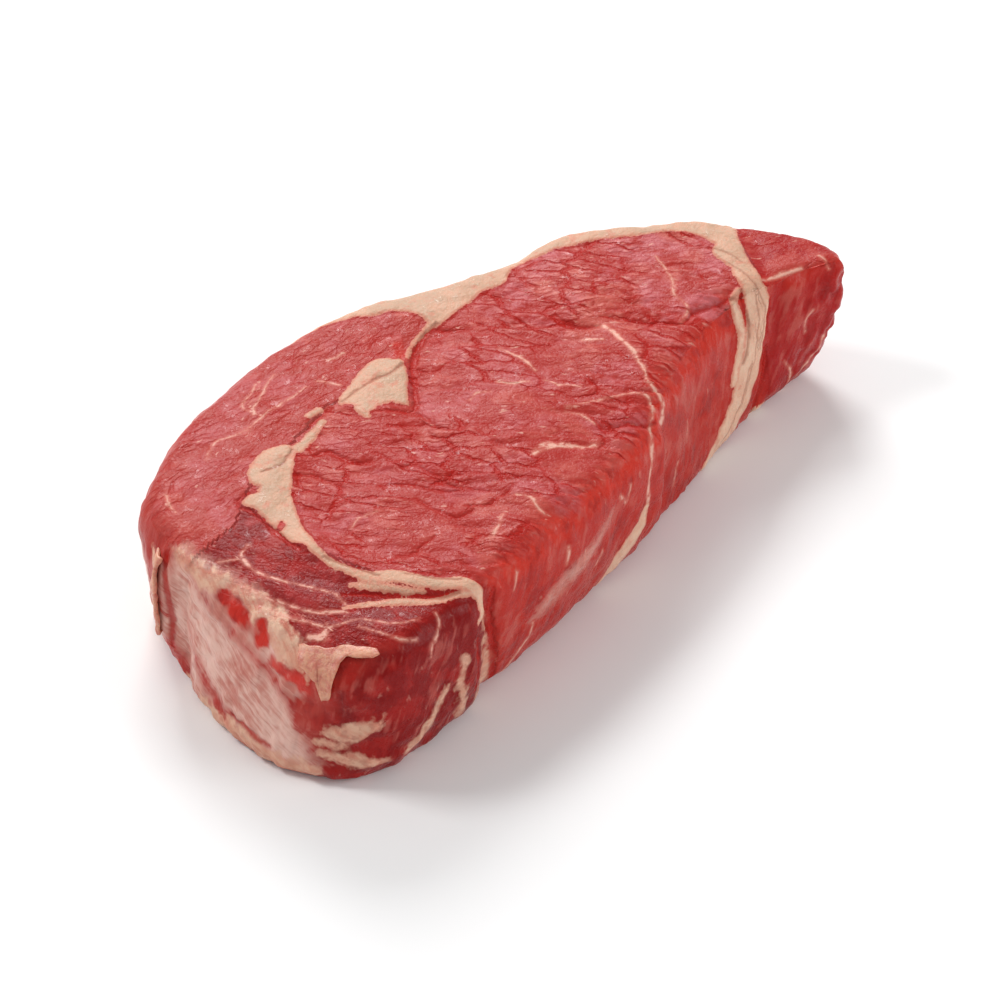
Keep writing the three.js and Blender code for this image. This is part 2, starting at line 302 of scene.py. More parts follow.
# Fat with ragged, broken edges.
MOTTLE_STRANDS = strands(
    # Scraps round the notch between the eye and the lip.
    ((-56.5, -45.5, 16, 2), (-56, -45, 11, 3.2), (-56.5, -44.5, 6, 3.4), (-59, -45, 3, 2.4)),
    ((-67, -48, 23, 1), (-68, -47.5, 16, 1.4), (-67, -47, 9, 1.6), (-67, -45.5, 2.5, 1.4)),
    ((-72.5, -47, 17.5, 1), (-76.5, -46.5, 13, 1.9), (-81.5, -45, 8, 1.9), (-86, -44, 5.5, 1.2)),
    # The pale rim, the foot and the mottled corner of the lip end.
    (
        (-88, 21, 37, 2), (-90, 14, 36.5, 2.5), (-90.5, 8, 36.5, 3), (-91, 3.5, 36.5, 3),
        (-91.5, -1, 36.5, 3.2), (-92.5, -6.5, 36, 3.6), (-94, -12, 35.5, 4), (-96, -17.5, 34, 4),
        (-98, -22, 32, 3), (-99.5, -26, 30, 1.5),
    ),
    (
        (-92.5, 16, 2, 2), (-99.5, 4, 2.5, 3), (-103, -5.5, 4, 3.2), (-104.5, -14.5, 4, 3.2),
        (-104, -22.5, 3.5, 3), (-102.5, -29.5, 3.5, 2.2),
    ),
    ((-100, -32, 15.5, 1.4), (-98.5, -35, 16, 2.9), (-96, -39, 17.5, 2.9), (-93, -42.5, 20, 1.4)),
    ((-101.5, -29, 12.5, 1), (-100, -33, 12.5, 1.6), (-98.5, -36, 12, 1)),
    ((-101, -30, 9, 1.2), (-99, -35, 8.5, 2.2), (-96.5, -38.5, 8, 2.4), (-93, -41.5, 6.5, 1.3)),
    # Remains of fat along the foot of the far side.
    (
        (-88, 28, 8, 2), (-82, 33, 5, 4), (-76, 40, 4, 2.4), (-67, 45, 6, 4.4), (-58, 47, 3, 2.2),
        (-46, 49, 5, 4), (-36, 49.5, 4, 4), (-24, 49, 8, 6),
    ),
    (
        (-62, 47, 31, 1.5), (-54, 49, 27, 3), (-44, 50, 29, 3.4), (-34, 50, 26, 4), (-22, 49, 28, 5),
        (-12, 48, 30, 6),
    ),
    # Pink edges of the notch and the far end.
    ((-59, -47.5, 33, 1.4), (-58, -48, 27, 1.8), (-58, -47.5, 21, 1.8), (-58, -46.5, 15, 1.6)),
    ((-87, 29.5, 33, 1), (-90, 27, 27, 1.1), (-91, 26, 20, 1), (-91, 25.5, 14, 0.8)),
)

LEAN_STRANDS = strands(
    ((-92, 4, 35, 1.5), (-94, -0.5, 34, 2.1), (-95.5, -4.5, 33, 1.9)),
    ((-94.5, -9, 34.5, 1.5), (-97, -10.5, 32.5, 2)),
    ((-99.5, -16, 29, 1.2), (-100, -20.5, 28.5, 1.8), (-100.5, -24.5, 27.5, 1.8)),
    ((5.5, 22, 38, 0.6), (2, 21, 39, 0.8), (0, 20.5, 39, 0.5)),
    ((-70.5, 3.5, 40, 0.3), (-68, 4.5, 40, 0.5)),
)

VEIN_STRANDS = strands(
    # Lines across the lip.
    (
        (-79, 7, 39, 0.5), (-82.5, 6, 39, 0.5), (-84.5, 0, 39, 0.55), (-84, -6.5, 39, 0.5),
        (-82.5, -12, 39, 0.4), (-80.5, -19, 39, 0.4), (-81.5, -23.5, 39, 0.5),
    ),
    ((-86, 9.5, 39, 0.3), (-83, 5.5, 39, 0.4)),
    (
        (-89.5, 0.5, 38, 0.4), (-90, -5.5, 38, 0.45), (-89, -13, 38, 0.5), (-87.5, -19.5, 38, 0.55),
        (-84, -25, 38, 0.6),
    ),
    (
        (-92, -13.5, 37, 0.35), (-91, -19.5, 38, 0.4), (-90, -24.5, 38, 0.5), (-87.5, -27, 38, 0.4),
        (-84, -30, 39, 0.35), (-81, -37.5, 39, 0.35), (-77, -41, 39, 0.3),
    ),
    ((-90, -24.5, 38, 0.6), (-92.5, -25, 37, 1), (-94, -23, 37, 0.8)),
    ((-86, -32, 38, 0.3), (-85, -37, 38, 0.35), (-84, -41.5, 38, 0.4), (-81.5, -43.5, 37, 0.3)),
    # The eye's long vein, over the cut face and down the near side.
    (
        (40.5, -14.5, 39, 0.6), (40.5, -17.5, 39, 0.8), (38, -22.5, 40, 0.8), (36.5, -26.5, 40, 0.75),
        (33.5, -31, 40, 0.7), (30, -35.5, 40, 0.4), (27.5, -37.5, 39, 0.7), (27, -41, 38, 1),
        (25.5, -43, 35, 1.3), (22.5, -45, 34, 1.1),
    ),
    (
        (8.5, -26.5, 39, 0.3), (20.5, -35.5, 39, 0.3), (22.5, -38, 39, 0.5), (23, -41, 38, 0.6),
        (18, -45, 36.5, 0.7), (14.5, -47, 34.5, 0.9), (11.5, -49.5, 29.5, 0.9), (9.5, -50, 25, 0.9),
        (9.5, -49.5, 20, 1),
    ),
    (
        (72.5, -11, 39, 0.25), (68, -18, 39, 0.45), (65, -21, 39, 0.5), (62, -23, 39, 0.5),
        (60.5, -26.5, 39, 0.4), (58.5, -29.5, 39, 0.5), (54, -30.5, 38, 0.45),
    ),
    ((33.5, -15, 39, 0.5), (35.5, -18, 40, 0.5)),
    ((18, 0, 40, 0.3), (17.5, -5, 40, 0.4), (17, -8.5, 40, 0.55), (16, -11, 40, 0.3)),
    ((14, -16.5, 39, 0.35), (14.5, -20.5, 39, 0.45), (16, -24, 39, 0.3)),
    ((7, -27.5, 39, 0.4), (8, -30.5, 39, 0.5), (7.5, -34.5, 39, 0.3)),
    ((6.5, -7.5, 40, 0.4), (8, -10.5, 40, 0.5), (10.5, -12.5, 40, 0.3)),
    (
        (-11, -30, 40, 0.9), (-7.5, -31, 39, 1.1), (-4, -34, 39, 1), (-1.5, -37, 38, 0.7),
        (0.5, -39, 38, 0.4),
    ),
    ((-26.5, -36, 40, 0.6), (-26, -38.5, 40, 0.45), (-27.5, -41.5, 40, 0.5), (-28, -43.5, 39, 0.4)),
    ((-43, -39, 39, 0.5), (-38.5, -38, 40, 0.5), (-35.5, -37, 40, 0.3)),
    ((-3, -5, 40, 0.4), (-0.5, -5, 40, 0.4), (1.5, -7, 40, 0.3)),
    ((-59, -9.6, 40, 0.3), (-55.2, -9.5, 40, 0.35), (-51.9, -10.9, 40, 0.3)),
    # Veins of the cap.
    ((-29, 42, 40, 0.3), (-33, 40.5, 40, 0.35), (-37.5, 39.5, 40, 0.4), (-38, 35.5, 40, 0.4)),
    (
        (-23, 41, 39, 0.25), (-27, 40, 40, 0.3), (-33, 37.5, 40, 0.35), (-36.5, 37, 40, 0.4),
        (-38, 35.5, 40, 0.5),
    ),
    (
        (-22.5, 31.5, 39, 0.4), (-27.5, 31.5, 39, 0.4), (-34, 32.5, 40, 0.35), (-38.5, 33, 40, 0.4),
        (-44, 33, 40, 0.35), (-48.5, 35, 40, 0.3), (-52, 37, 40, 0.4), (-58, 35, 40, 0.3),
    ),
    ((-9, 33.5, 39, 0.4), (-5.5, 32.5, 39, 0.4)),
    ((-74.5, 34.5, 39, 0.3), (-77, 31.5, 39, 0.4), (-78, 29.5, 39, 0.3)),
    ((-18, 30, 39, 0.3), (-16.5, 26, 39, 0.3)),
    # Veins of the tail.
    ((81.5, -38, 38, 0.4), (86, -40.5, 38, 0.7), (90.5, -43, 38, 0.5)),
    ((97.5, -45, 38.5, 0.3), (97, -47.5, 37, 0.4)),
    ((91, -47, 25.5, 0.35), (89.5, -46, 23.5, 0.35), (89.5, -46.5, 20, 0.3)),
    ((83.5, -44, 12.5, 0.4), (86.5, -44.5, 7.5, 0.6), (86, -44, 3.5, 0.3)),
    ((96, -48, 14, 0.5), (95, -46.5, 10, 0.5), (91, -45, 6.5, 0.5), (90, -44.5, 4, 0.3)),
    # Short dashes on the near side.
    ((-72, -43.5, 38, 0.35), (-73.5, -45, 36, 0.45), (-77.5, -46, 34, 0.6), (-78.5, -46.5, 32, 0.4)),
    ((-39.5, -48.5, 13.5, 0.4), (-40.5, -47.5, 9.5, 0.7), (-44, -46.5, 6.5, 0.5), (-47.5, -45, 2, 0.9)),
    ((0.5, -50, 30, 0.4), (-1, -50.5, 26.5, 0.6), (-3, -50.5, 29.5, 0.4)),
    ((-27, -50.5, 29.5, 0.5), (-27.5, -50.5, 26, 0.4)),
    ((-20, -50.5, 23.5, 0.5), (-20.5, -50.5, 21, 0.4)),
    ((-46.5, -48.5, 34.5, 0.4), (-48, -49, 32, 0.3)),
    ((38, -43, 22, 0.4), (37, -43.5, 18, 0.4)),
    ((31, -44, 14, 0.4), (29.5, -44.5, 9, 0.5)),
    ((-12, -50, 18, 0.35), (-13, -50, 15, 0.4)),
)

GAP_STRANDS = strands(
    (
        (17.5, 20, 38, 0.6), (13.5, 20.2, 38, 0.7), (9, 19, 38, 0.9), (5, 17.5, 38, 1), (-0.5, 14, 39, 1),
        (-5.5, 10, 39, 0.9), (-11.5, 5.5, 39, 0.7), (-14, 4.5, 39, 0.5), (-17, 7.5, 39, 0.5),
        (-20.5, 11, 40, 0.35),
    ),
    ((37.5, -3.5, 39, 0.9), (37, -8, 38, 1.3), (38, -11.5, 39, 1.1), (40, -14, 39, 0.6)),
    (
        (44, -13.5, 39, 0.4), (46, -17.5, 39, 0.5), (49, -23.5, 38, 0.6), (51.5, -27.5, 38, 0.6),
        (54, -31, 38, 0.6), (59.5, -31, 38, 0.7), (64.5, -33, 38, 0.6), (69.5, -35.5, 38, 0.6),
    ),
    (
        (-41.5, 13.5, 39, 0.7), (-39, 12, 39, 0.7), (-39, 7.5, 39, 0.8), (-38.5, 3.5, 39, 0.7),
        (-36.5, 1.5, 39, 0.5),
    ),
    ((-51, 13, 39, 0.4), (-48.5, 10.5, 39, 0.5), (-48.5, 6.5, 39, 0.4), (-48, 1.5, 39, 0.3)),
    ((-14, 3.5, 39, 0.4), (-15, 0.5, 39, 0.5), (-16, -3, 39, 0.4), (-16.5, -7.5, 40, 0.3)),
    ((-22.5, 5, 39, 0.4), (-20.5, 2, 39, 0.5), (-17.5, -1.5, 39, 0.4)),
    (
        (-34, -7, 40, 0.4), (-31.5, -9.5, 40, 0.5), (-32, -13, 40, 0.5), (-31, -16, 40, 0.5),
        (-28, -19.5, 40, 0.4), (-25, -24, 40, 0.3),
    ),
    (
        (-43, -6.5, 40, 0.3), (-40, -9.5, 40, 0.4), (-38, -13.5, 40, 0.4), (-36, -19.5, 40, 0.4),
        (-33, -23, 40, 0.3),
    ),
    ((16.5, 19.5, 38, 0.5), (18, 15, 39, 0.4), (20.5, 12, 39, 0.3)),
    ((0.5, 13, 38, 0.4), (1.5, 9.5, 39, 0.4), (5.5, 8, 39, 0.3)),
    ((-42, -17, 40, 0.4), (-43, -24.5, 40, 0.5), (-42, -28.5, 40, 0.4), (-37.5, -29.5, 40, 0.4)),
    ((-36.5, -27.5, 40, 0.35), (-33.5, -31.5, 40, 0.45), (-28.5, -32.5, 40, 0.4), (-25, -32.5, 40, 0.3)),
    ((-61.5, -25.5, 40, 0.4), (-59, -27.5, 40, 0.5), (-54.5, -27.5, 40, 0.4), (-51.5, -28, 40, 0.3)),
    (
        (8.5, -34.5, 39, 0.5), (7, -38.5, 38, 0.8), (11, -40.5, 38, 0.8), (14.5, -44, 37, 0.7),
        (19, -45, 36, 0.5),
    ),
    ((-32.8, -17.3, 40, 0.35), (-31.5, -22.7, 40, 0.4), (-29.2, -27.9, 40, 0.3)),
    # Round the kernels and the ridge.
    ((-69, -38, 39, 0.6), (-67, -41, 39, 1), (-64, -43.5, 39, 0.6)),
    ((-79, -22.5, 39, 0.4), (-75.5, -27, 39, 0.55), (-72.5, -32.5, 39, 0.55), (-69, -37.5, 39, 0.5)),
    ((-26, 21.5, 40, 0.5), (-30, 21.8, 40, 0.7), (-35, 21, 40, 0.5)),
    (
        (-64, 18.5, 40, 0.4), (-68, 18.5, 40, 0.5), (-68.5, 12, 40, 0.5), (-71.5, 3, 40, 0.5),
        (-73.5, -4, 40, 0.5),
    ),
    # Beside the tail's seam and down the notch.
    (
        (73, -36.5, 38.5, 0.3), (71, -38, 36, 0.45), (70.5, -40, 32, 0.45), (70, -41, 27, 0.4),
        (67.5, -41.5, 22, 0.3),
    ),
    ((78, -41, 20, 0.3), (77.5, -41, 14, 0.6), (74.5, -41.5, 9, 0.8), (72, -41.5, 3, 0.9)),
    (
        (-54.5, -47.5, 35, 0.6), (-55.5, -47, 30, 0.8), (-55, -47, 24, 0.9), (-53.5, -46.5, 15, 1),
        (-52, -45, 5, 1),
    ),
    ((-62.5, -47.5, 26, 0.6), (-62, -47, 18, 0.7), (-61.5, -46, 9, 0.7)),
    # The crevice behind the hanging strip, and the gash above the foot of the lip end.
    ((-89, 24, 35, 0.8), (-92, 22, 29, 0.9), (-92, 21, 23, 1), (-92, 20.5, 18, 0.9), (-91.5, 21, 11, 0.8)),
    ((-102, -5, 8, 0.4), (-103, -9, 8, 0.6), (-104, -13, 7, 0.6), (-104, -16.5, 6.5, 0.4)),
    # Creases in the kernels.
    (
        (-21, 20.5, 39, 0.4), (-15.5, 20, 40, 0.5), (-10.5, 19, 40, 0.5), (-6.5, 17.5, 40, 0.5),
        (-1.5, 17, 39, 0.5),
    ),
    ((-45, 19, 40, 0.3), (-50, 18, 40, 0.35), (-55, 19.5, 40, 0.3)),
    # Folds in the tail's seam.
    (
        (80, -29, 40, 0.05), (78.5, -34, 39, 0.1), (77.5, -37.5, 37, 0.15), (76, -40.5, 31, 0.15),
        (74, -41.5, 23, 0.1),
    ),
    (
        (76, -38, 37, 0.05), (73.5, -40, 31, 0.15), (72.5, -41, 24, 0.15), (69, -42, 15, 0.1),
        (64, -42, 9, 0.05),
    ),
    ((70, -42, 20, 0.05), (66, -42, 12, 0.15), (60, -42.5, 6, 0.1), (54, -43, 3, 0.05)),
    ((82.5, -18, 40, 0.05), (83.5, -24, 40, 0.1), (83, -30, 40, 0.05)),
    # Folds in the ridge.
    ((-72.5, -12, 40, 0.3), (-71.5, -19, 40, 0.35), (-70.5, -25, 40, 0.3)),
    ((-66, -31, 40, 0.3), (-63.5, -37, 40, 0.4), (-60.5, -41.5, 40, 0.3)),
)

FILM_STRANDS = strands(
    (
        (-87.5, 20, 38, 2.5), (-89.5, 17, 32, 5.5), (-93, 12, 26, 8), (-97.5, 2.5, 20, 10),
        (-100.5, -6, 17, 10.5), (-102.5, -14, 14, 10), (-103.5, -21, 9, 7), (-103, -28, 5, 3.5),
    ),
    (
        (-89, 14, 36, 4), (-91, 6, 35, 5), (-92.5, -2, 34, 6), (-95, -10, 32.5, 6), (-98, -17, 29, 5),
        (-100, -22, 25, 3),
    ),
    ((-88.5, 22.5, 31, 3), (-91, 20, 23, 5), (-93, 17, 15, 5.5), (-95.5, 12, 8, 5), (-98, 6, 4, 4)),
    (
        (-8, -50.5, 27, 1.2), (-17, -50.5, 22.5, 2.8), (-27, -50.5, 20.5, 3.2), (-34.5, -49.5, 18, 2.8),
        (-40.5, -49, 15, 1.4),
    ),
    (
        (-91, 22, 18, 4), (-87, 29, 14, 7), (-80, 36, 18, 8), (-70, 43, 20, 8), (-60, 47, 16, 5),
        (-50, 48, 18, 9), (-40, 49, 20, 10), (-30, 50, 20, 11), (-20, 49, 24, 11),
    ),
)


@dataclass(frozen=True)
class LatticeNoise:
    """Smooth random heights in space, the same on each run."""

    seed: int
    seed_shift: float = 7.31
    table: int = 4096
    primes: tuple[int, int, int] = (73856093, 19349663, 83492791)

    def at(self, places: np.ndarray, size: float | Place) -> np.ndarray:
        """Read the height at each place.

        Args:
            places: one place in a row.
            size: the width of a swelling, or one width for each of the three directions.

        Returns:
            Heights from -1 to 1.
        """
        spots = places / np.asarray(size, dtype=float) + self.seed * self.seed_shift
        corner = np.floor(spots).astype(np.int64)
        share = spots - corner
        share = share**3 * (share * (share * 6 - 15) + 10)
        heights = np.random.default_rng(self.seed).uniform(-1, 1, self.table)
        total = np.zeros(len(places))
        for step in np.ndindex(2, 2, 2):
            x_key, y_key, z_key = (corner + step).T * np.array(self.primes)[:, None]
            weight = np.prod(np.where(np.array(step) == 1, share, 1 - share), axis=1)
            total += heights[(x_key ^ y_key ^ z_key) % self.table] * weight
        return total


@dataclass
class StrandField:
    """How each vertex lies to the nearest strand of one tissue."""

    edge: np.ndarray
    side: np.ndarray
    distance: np.ndarray
    half: np.ndarray

    def packed(self) -> np.ndarray:
        """Give side, distance and half width as one vector a vertex."""
        return np.stack((self.side, self.distance, self.half), axis=1)


@dataclass
class Skin:
    """The vertices of the body, with the tools that measure on them."""

    places: np.ndarray
    normals: np.ndarray
    tree: BVHTree
    batch: int = 6000

    @property
    def level(self) -> np.ndarray:
        """Give 1 where the surface is level and 0 where it is upright."""
        return np.abs(self.normals[:, 2])

    def on_surface(self, line: np.ndarray) -> np.ndarray:
        """Move a line's points onto the surface.

        Args:
            line: rows of x, y, z and half width.

        Returns:
            The moved rows.
        """
        moved = line.copy()
        for row in moved:
            near, _, _, _ = self.tree.find_nearest(Vector(row[:3] * MM))
            row[:3] = np.array(near) / MM
        return moved

    def field(self, lines: list[Strand], step: float = 1.5) -> StrandField:
        """Measure all vertices against the strands.

        Args:
            lines: the strands.
            step: the spacing of the points along a strand.

        Returns:
            The nearest strand's signed side, distance, half width and edge distance.
        """
        count = len(self.places)
        found = StrandField(*(np.full(count, FAR_AWAY) for _ in range(3)), np.zeros(count))
        for strand in lines:
            line = self.on_surface(smooth_line(np.array(strand.points, dtype=float), step))
            reach = line[:, 3].max() + FAR_AWAY
            low, high = line[:, :3].min(axis=0) - reach, line[:, :3].max(axis=0) + reach
            near = np.flatnonzero(np.all((self.places > low) & (self.places < high), axis=1))
            for part in np.array_split(near, len(near) // self.batch + 1):
                self._measure(found, line, part)
        return found

    def _measure(self, found: StrandField, line: np.ndarray, part: np.ndarray) -> None:
        """Keep the nearest segment of one line for some of the vertices.

        Args:
            found: the nearest segments so far, which are brought up to date.
            line: rows of x, y, z and half width.
            part: the numbers of the vertices.
        """
        start, run = line[:-1, :3], np.diff(line[:, :3], axis=0)
        offset = self.places[part][:, None, :] - start[None]
        length = np.maximum((run**2).sum(axis=1), TINY)
        share = np.clip((offset * run[None]).sum(axis=2) / length, 0, 1)
        offset = offset - share[:, :, None] * run[None]
        distance = np.linalg.norm(offset, axis=2)
        half = line[:-1, 3] + share * np.diff(line[:, 3])[None]
        pick = np.argmin(distance - half, axis=1)
        row = np.arange(len(part))
        across = np.cross(run[pick], self.normals[part])
        across /= np.maximum(np.linalg.norm(across, axis=1, keepdims=True), TINY)
        side = (offset[row, pick] * across).sum(axis=1)
        distance, half = distance[row, pick], half[row, pick]
        edge = distance - half
        better = edge < found.edge[part]
        target = part[better]
        for name, value in {"edge": edge, "side": side, "distance": distance, "half": half}.items():
            getattr(found, name)[target] = value[better]


@dataclass
class Plates:
    """Long flat flakes that the grain of a cut face opens into, lying like shingles."""

    length: float = 15.0
    width: float = 4.2
    depth: float = 22.0
    bend: LatticeNoise = LatticeNoise(41)
    other_bend: LatticeNoise = LatticeNoise(43)
    sway: float = 1.7
    sway_size: float = 7
    jitter: float = 0.6
    jitter_size: float = 2.2
    slide: float = 2.5
    slide_size: float = 8

    def measure(self, grain: np.ndarray) -> tuple[np.ndarray, np.ndarray]:
        """Find each place's distance to its flake's edge and its place across the flake.

        Args:
            grain: the places along, across and below the grain.

        Returns:
            The distance to the edge and the signed offset from the flake's middle.
        """
        bent = grain.copy()
        sway = self.sway * self.bend.at(grain, self.sway_size)
        bent[:, 1] += sway + self.jitter * self.other_bend.at(grain, self.jitter_size)
        bent[:, 0] += self.slide * self.other_bend.at(grain, self.slide_size)
        cells = bent / (self.length, self.width, self.depth)
        gape, offset = np.empty(len(cells)), np.empty(len(cells))
        for index, cell in enumerate(cells):
            distances, middles = voronoi(Vector(cell))
            gape[index] = (distances[1] - distances[0]) * 0.5 * self.width
            offset[index] = (cell[1] - middles[0][1]) * self.width
        return gape, offset


def patch_edge(x: np.ndarray, y: np.ndarray, outline: tuple[Spot, ...]) -> np.ndarray:
    """Measure the distance to an outline seen from above, negative inside it.

    Args:
        x: the places' first coordinate.
        y: the places' second coordinate.
        outline: the corners in order.

    Returns:
        The signed distances.
    """
    corners = np.array(outline)
    best = np.full(len(x), np.inf)
    inside = np.zeros(len(x), dtype=bool)
    for first, last in zip(corners, np.roll(corners, -1, axis=0)):
        run = last - first
        share = np.clip(((x - first[0]) * run[0] + (y - first[1]) * run[1]) / (run @ run), 0, 1)
        best = np.minimum(best, np.hypot(x - first[0] - share * run[0], y - first[1] - share * run[1]))
        crosses = (first[1] > y) != (last[1] > y)
        slope = run[0] / run[1] if run[1] else 0.0
        inside ^= crosses & (x < first[0] + (y - first[1]) * slope)
    return np.where(inside, -best, best)


def operator(operation: str) -> tuple[Callable, Callable]:
    """Make the methods for an operator and its reflected form, each of which adds a Math node.

    Args:
        operation: the Math node's operation.

    Returns:
        The plain and the reflected method.
    """

    def plain(self: "Signal", other: "Signal | float") -> "Signal":
        """Work on this signal and another one or a number."""
        return self.math(operation, self, other)

    def reflected(self: "Signal", other: float) -> "Signal":
        """Work on a number and this signal."""
        return self.math(operation, other, self)

    return plain, reflected


class Signal:
    """One output of a shader's nodes, which takes part in arithmetic."""

    __add__, __radd__ = operator("ADD")
    __sub__, __rsub__ = operator("SUBTRACT")
    __mul__, __rmul__ = operator("MULTIPLY")
    __truediv__, __rtruediv__ = operator("DIVIDE")

    def __init__(self, graph: "ShaderGraph", socket: bpy.types.NodeSocket) -> None:
        """Wrap the output of a node."""
        self.graph = graph
        self.socket = socket

    def __abs__(self) -> "Signal":
        """Drop the sign."""
        return self.math("ABSOLUTE", self)

    def math(self, operation: str, *values: "Signal | float") -> "Signal":
        """Make a Math node of the values."""
        return self.graph.node("ShaderNodeMath", {"operation": operation}, dict(enumerate(values)))

    def most(self, other: "Signal | float") -> "Signal":
        """Take the larger of two."""
        return self.math("MAXIMUM", self, other)

    def swing(self, reach: float) -> "Signal":
        """Turn noise from 0 to 1 into a swing about zero."""
        return (self - 0.5) * reach

    def rise(self, low: float, high: float) -> "Signal":
        """Rise smoothly from 0 at low to 1 at high."""
        inputs = {"Value": self, "From Min": low, "From Max": high}
        return self.graph.node("ShaderNodeMapRange", {"interpolation_type": "SMOOTHSTEP"}, inputs)

    def fall(self, low: float, high: float) -> "Signal":
        """Fall smoothly from 1 at low to 0 at high."""
        return 1.0 - self.rise(low, high)

    def parts(self) -> tuple["Signal", "Signal", "Signal"]:
        """Split a vector into its three numbers.

        Returns:
            The x, y and z.
        """
        split = self.graph.made("ShaderNodeSeparateXYZ", {}, {"Vector": self})
        x, y, z = (Signal(self.graph, output) for output in split.outputs)
        return x, y, z

    def scaled(self, sizes: Place) -> "Signal":
        """Multiply a vector by three numbers."""
        return self.graph.node("ShaderNodeVectorMath", {"operation": "MULTIPLY"}, {0: self, 1: sizes})

    def moved(self, other: "Signal") -> "Signal":
        """Add a vector."""
        return self.graph.node("ShaderNodeVectorMath", {"operation": "ADD"}, {0: self, 1: other})

    def turned(self, axis: str, angle: float) -> "Signal":
        """Turn a vector about the X, Y or Z axis, by radians."""
        inputs = {"Vector": self, "Angle": angle}
        return self.graph.node("ShaderNodeVectorRotate", {"rotation_type": f"{axis}_AXIS"}, inputs)


class ShaderGraph:
    """A material and the nodes that make it."""

    noise_roughness = 0.55
    blend_inputs = (6, 7)  # the Mix node's two colour inputs, which share their names with others
    blend_output = 2

    def __init__(self, name: str) -> None:
        """Start an empty material.

        Args:
            name: the material's name.
        """
        self.material = bpy.data.materials.new(name)
        self.material.use_nodes = True
        self.tree = self.material.node_tree
        self.tree.nodes.clear()

    def made(self, kind: str, settings: dict[str, object], inputs: dict[str | int, object]) -> bpy.types.Node:
        """Make a node.

        Args:
            kind: the node's type.
            settings: its properties, set before its inputs.
            inputs: numbers, tuples or signals by the input's name or place.

        Returns:
            The node.
        """
        node = self.tree.nodes.new(kind)
        for key, value in settings.items():
            setattr(node, key, value)
        for key, value in inputs.items():
            if isinstance(value, Signal):
                self.tree.links.new(value.socket, node.inputs[key])
            else:
                node.inputs[key].default_value = value
        return node

    def node(
        self, kind: str, settings: dict[str, object], inputs: dict[str | int, object], output: str | int = 0
    ) -> Signal:
        """Make a node and give one of its outputs."""
        return Signal(self, self.made(kind, settings, inputs).outputs[output])

    def attribute(self, name: str, output: str = "Vector") -> Signal:
        """Read an attribute of the mesh."""
        return self.node("ShaderNodeAttribute", {"attribute_name": name}, {}, output)

    def places(self) -> Signal:
        """Read the object's own coordinates in millimetres."""
        here = self.node("ShaderNodeTexCoord", {}, {}, "Object")
        return here.scaled((1 / MM, 1 / MM, 1 / MM))

    def noise(self, places: Signal, size: float, detail: float = 2.0, output: str = "Fac") -> Signal:
        """Read noise from 0 to 1 with swellings of one size."""
        inputs = {"Vector": places, "Scale": 1 / size, "Detail": detail, "Roughness": self.noise_roughness}
        return self.node("ShaderNodeTexNoise", {}, inputs, output)

    def blend(self, share: Signal, low: Signal | Colour, high: Signal | Colour) -> Signal:
        """Mix two colours by a share."""
        inputs = {"Factor": share} | dict(zip(self.blend_inputs, (low, high)))
        return self.node("ShaderNodeMix", {"data_type": "RGBA"}, inputs, self.blend_output)

    def finish(self, shader: dict[str, object], height: Signal | None = None) -> bpy.types.Material:
        """Join the shader, its relief and the output.

        Args:
            shader: the Principled inputs.
            height: the relief's height in millimetres, if it has any.

        Returns:
            The material.
        """
        if height is not None:
            relief = {"Strength": 1.0, "Distance": MM, "Height": height}
            shader = shader | {"Normal": self.node("ShaderNodeBump", {}, relief)}
        surface = self.node("ShaderNodeBsdfPrincipled", {}, shader)
        self.made("ShaderNodeOutputMaterial", {}, {"Surface": surface})
        return self.material


@dataclass(frozen=True)
class Ground:
    """What every part of the beef's material reads: places, regions and noise of several sizes."""

    graph: ShaderGraph
    here: Signal
    wall: Signal
    wet: Signal
    seam: Signal
    broad: Signal
    middle: Signal
    fine: Signal
    streak: Signal
    torn: Signal
    broken: Signal


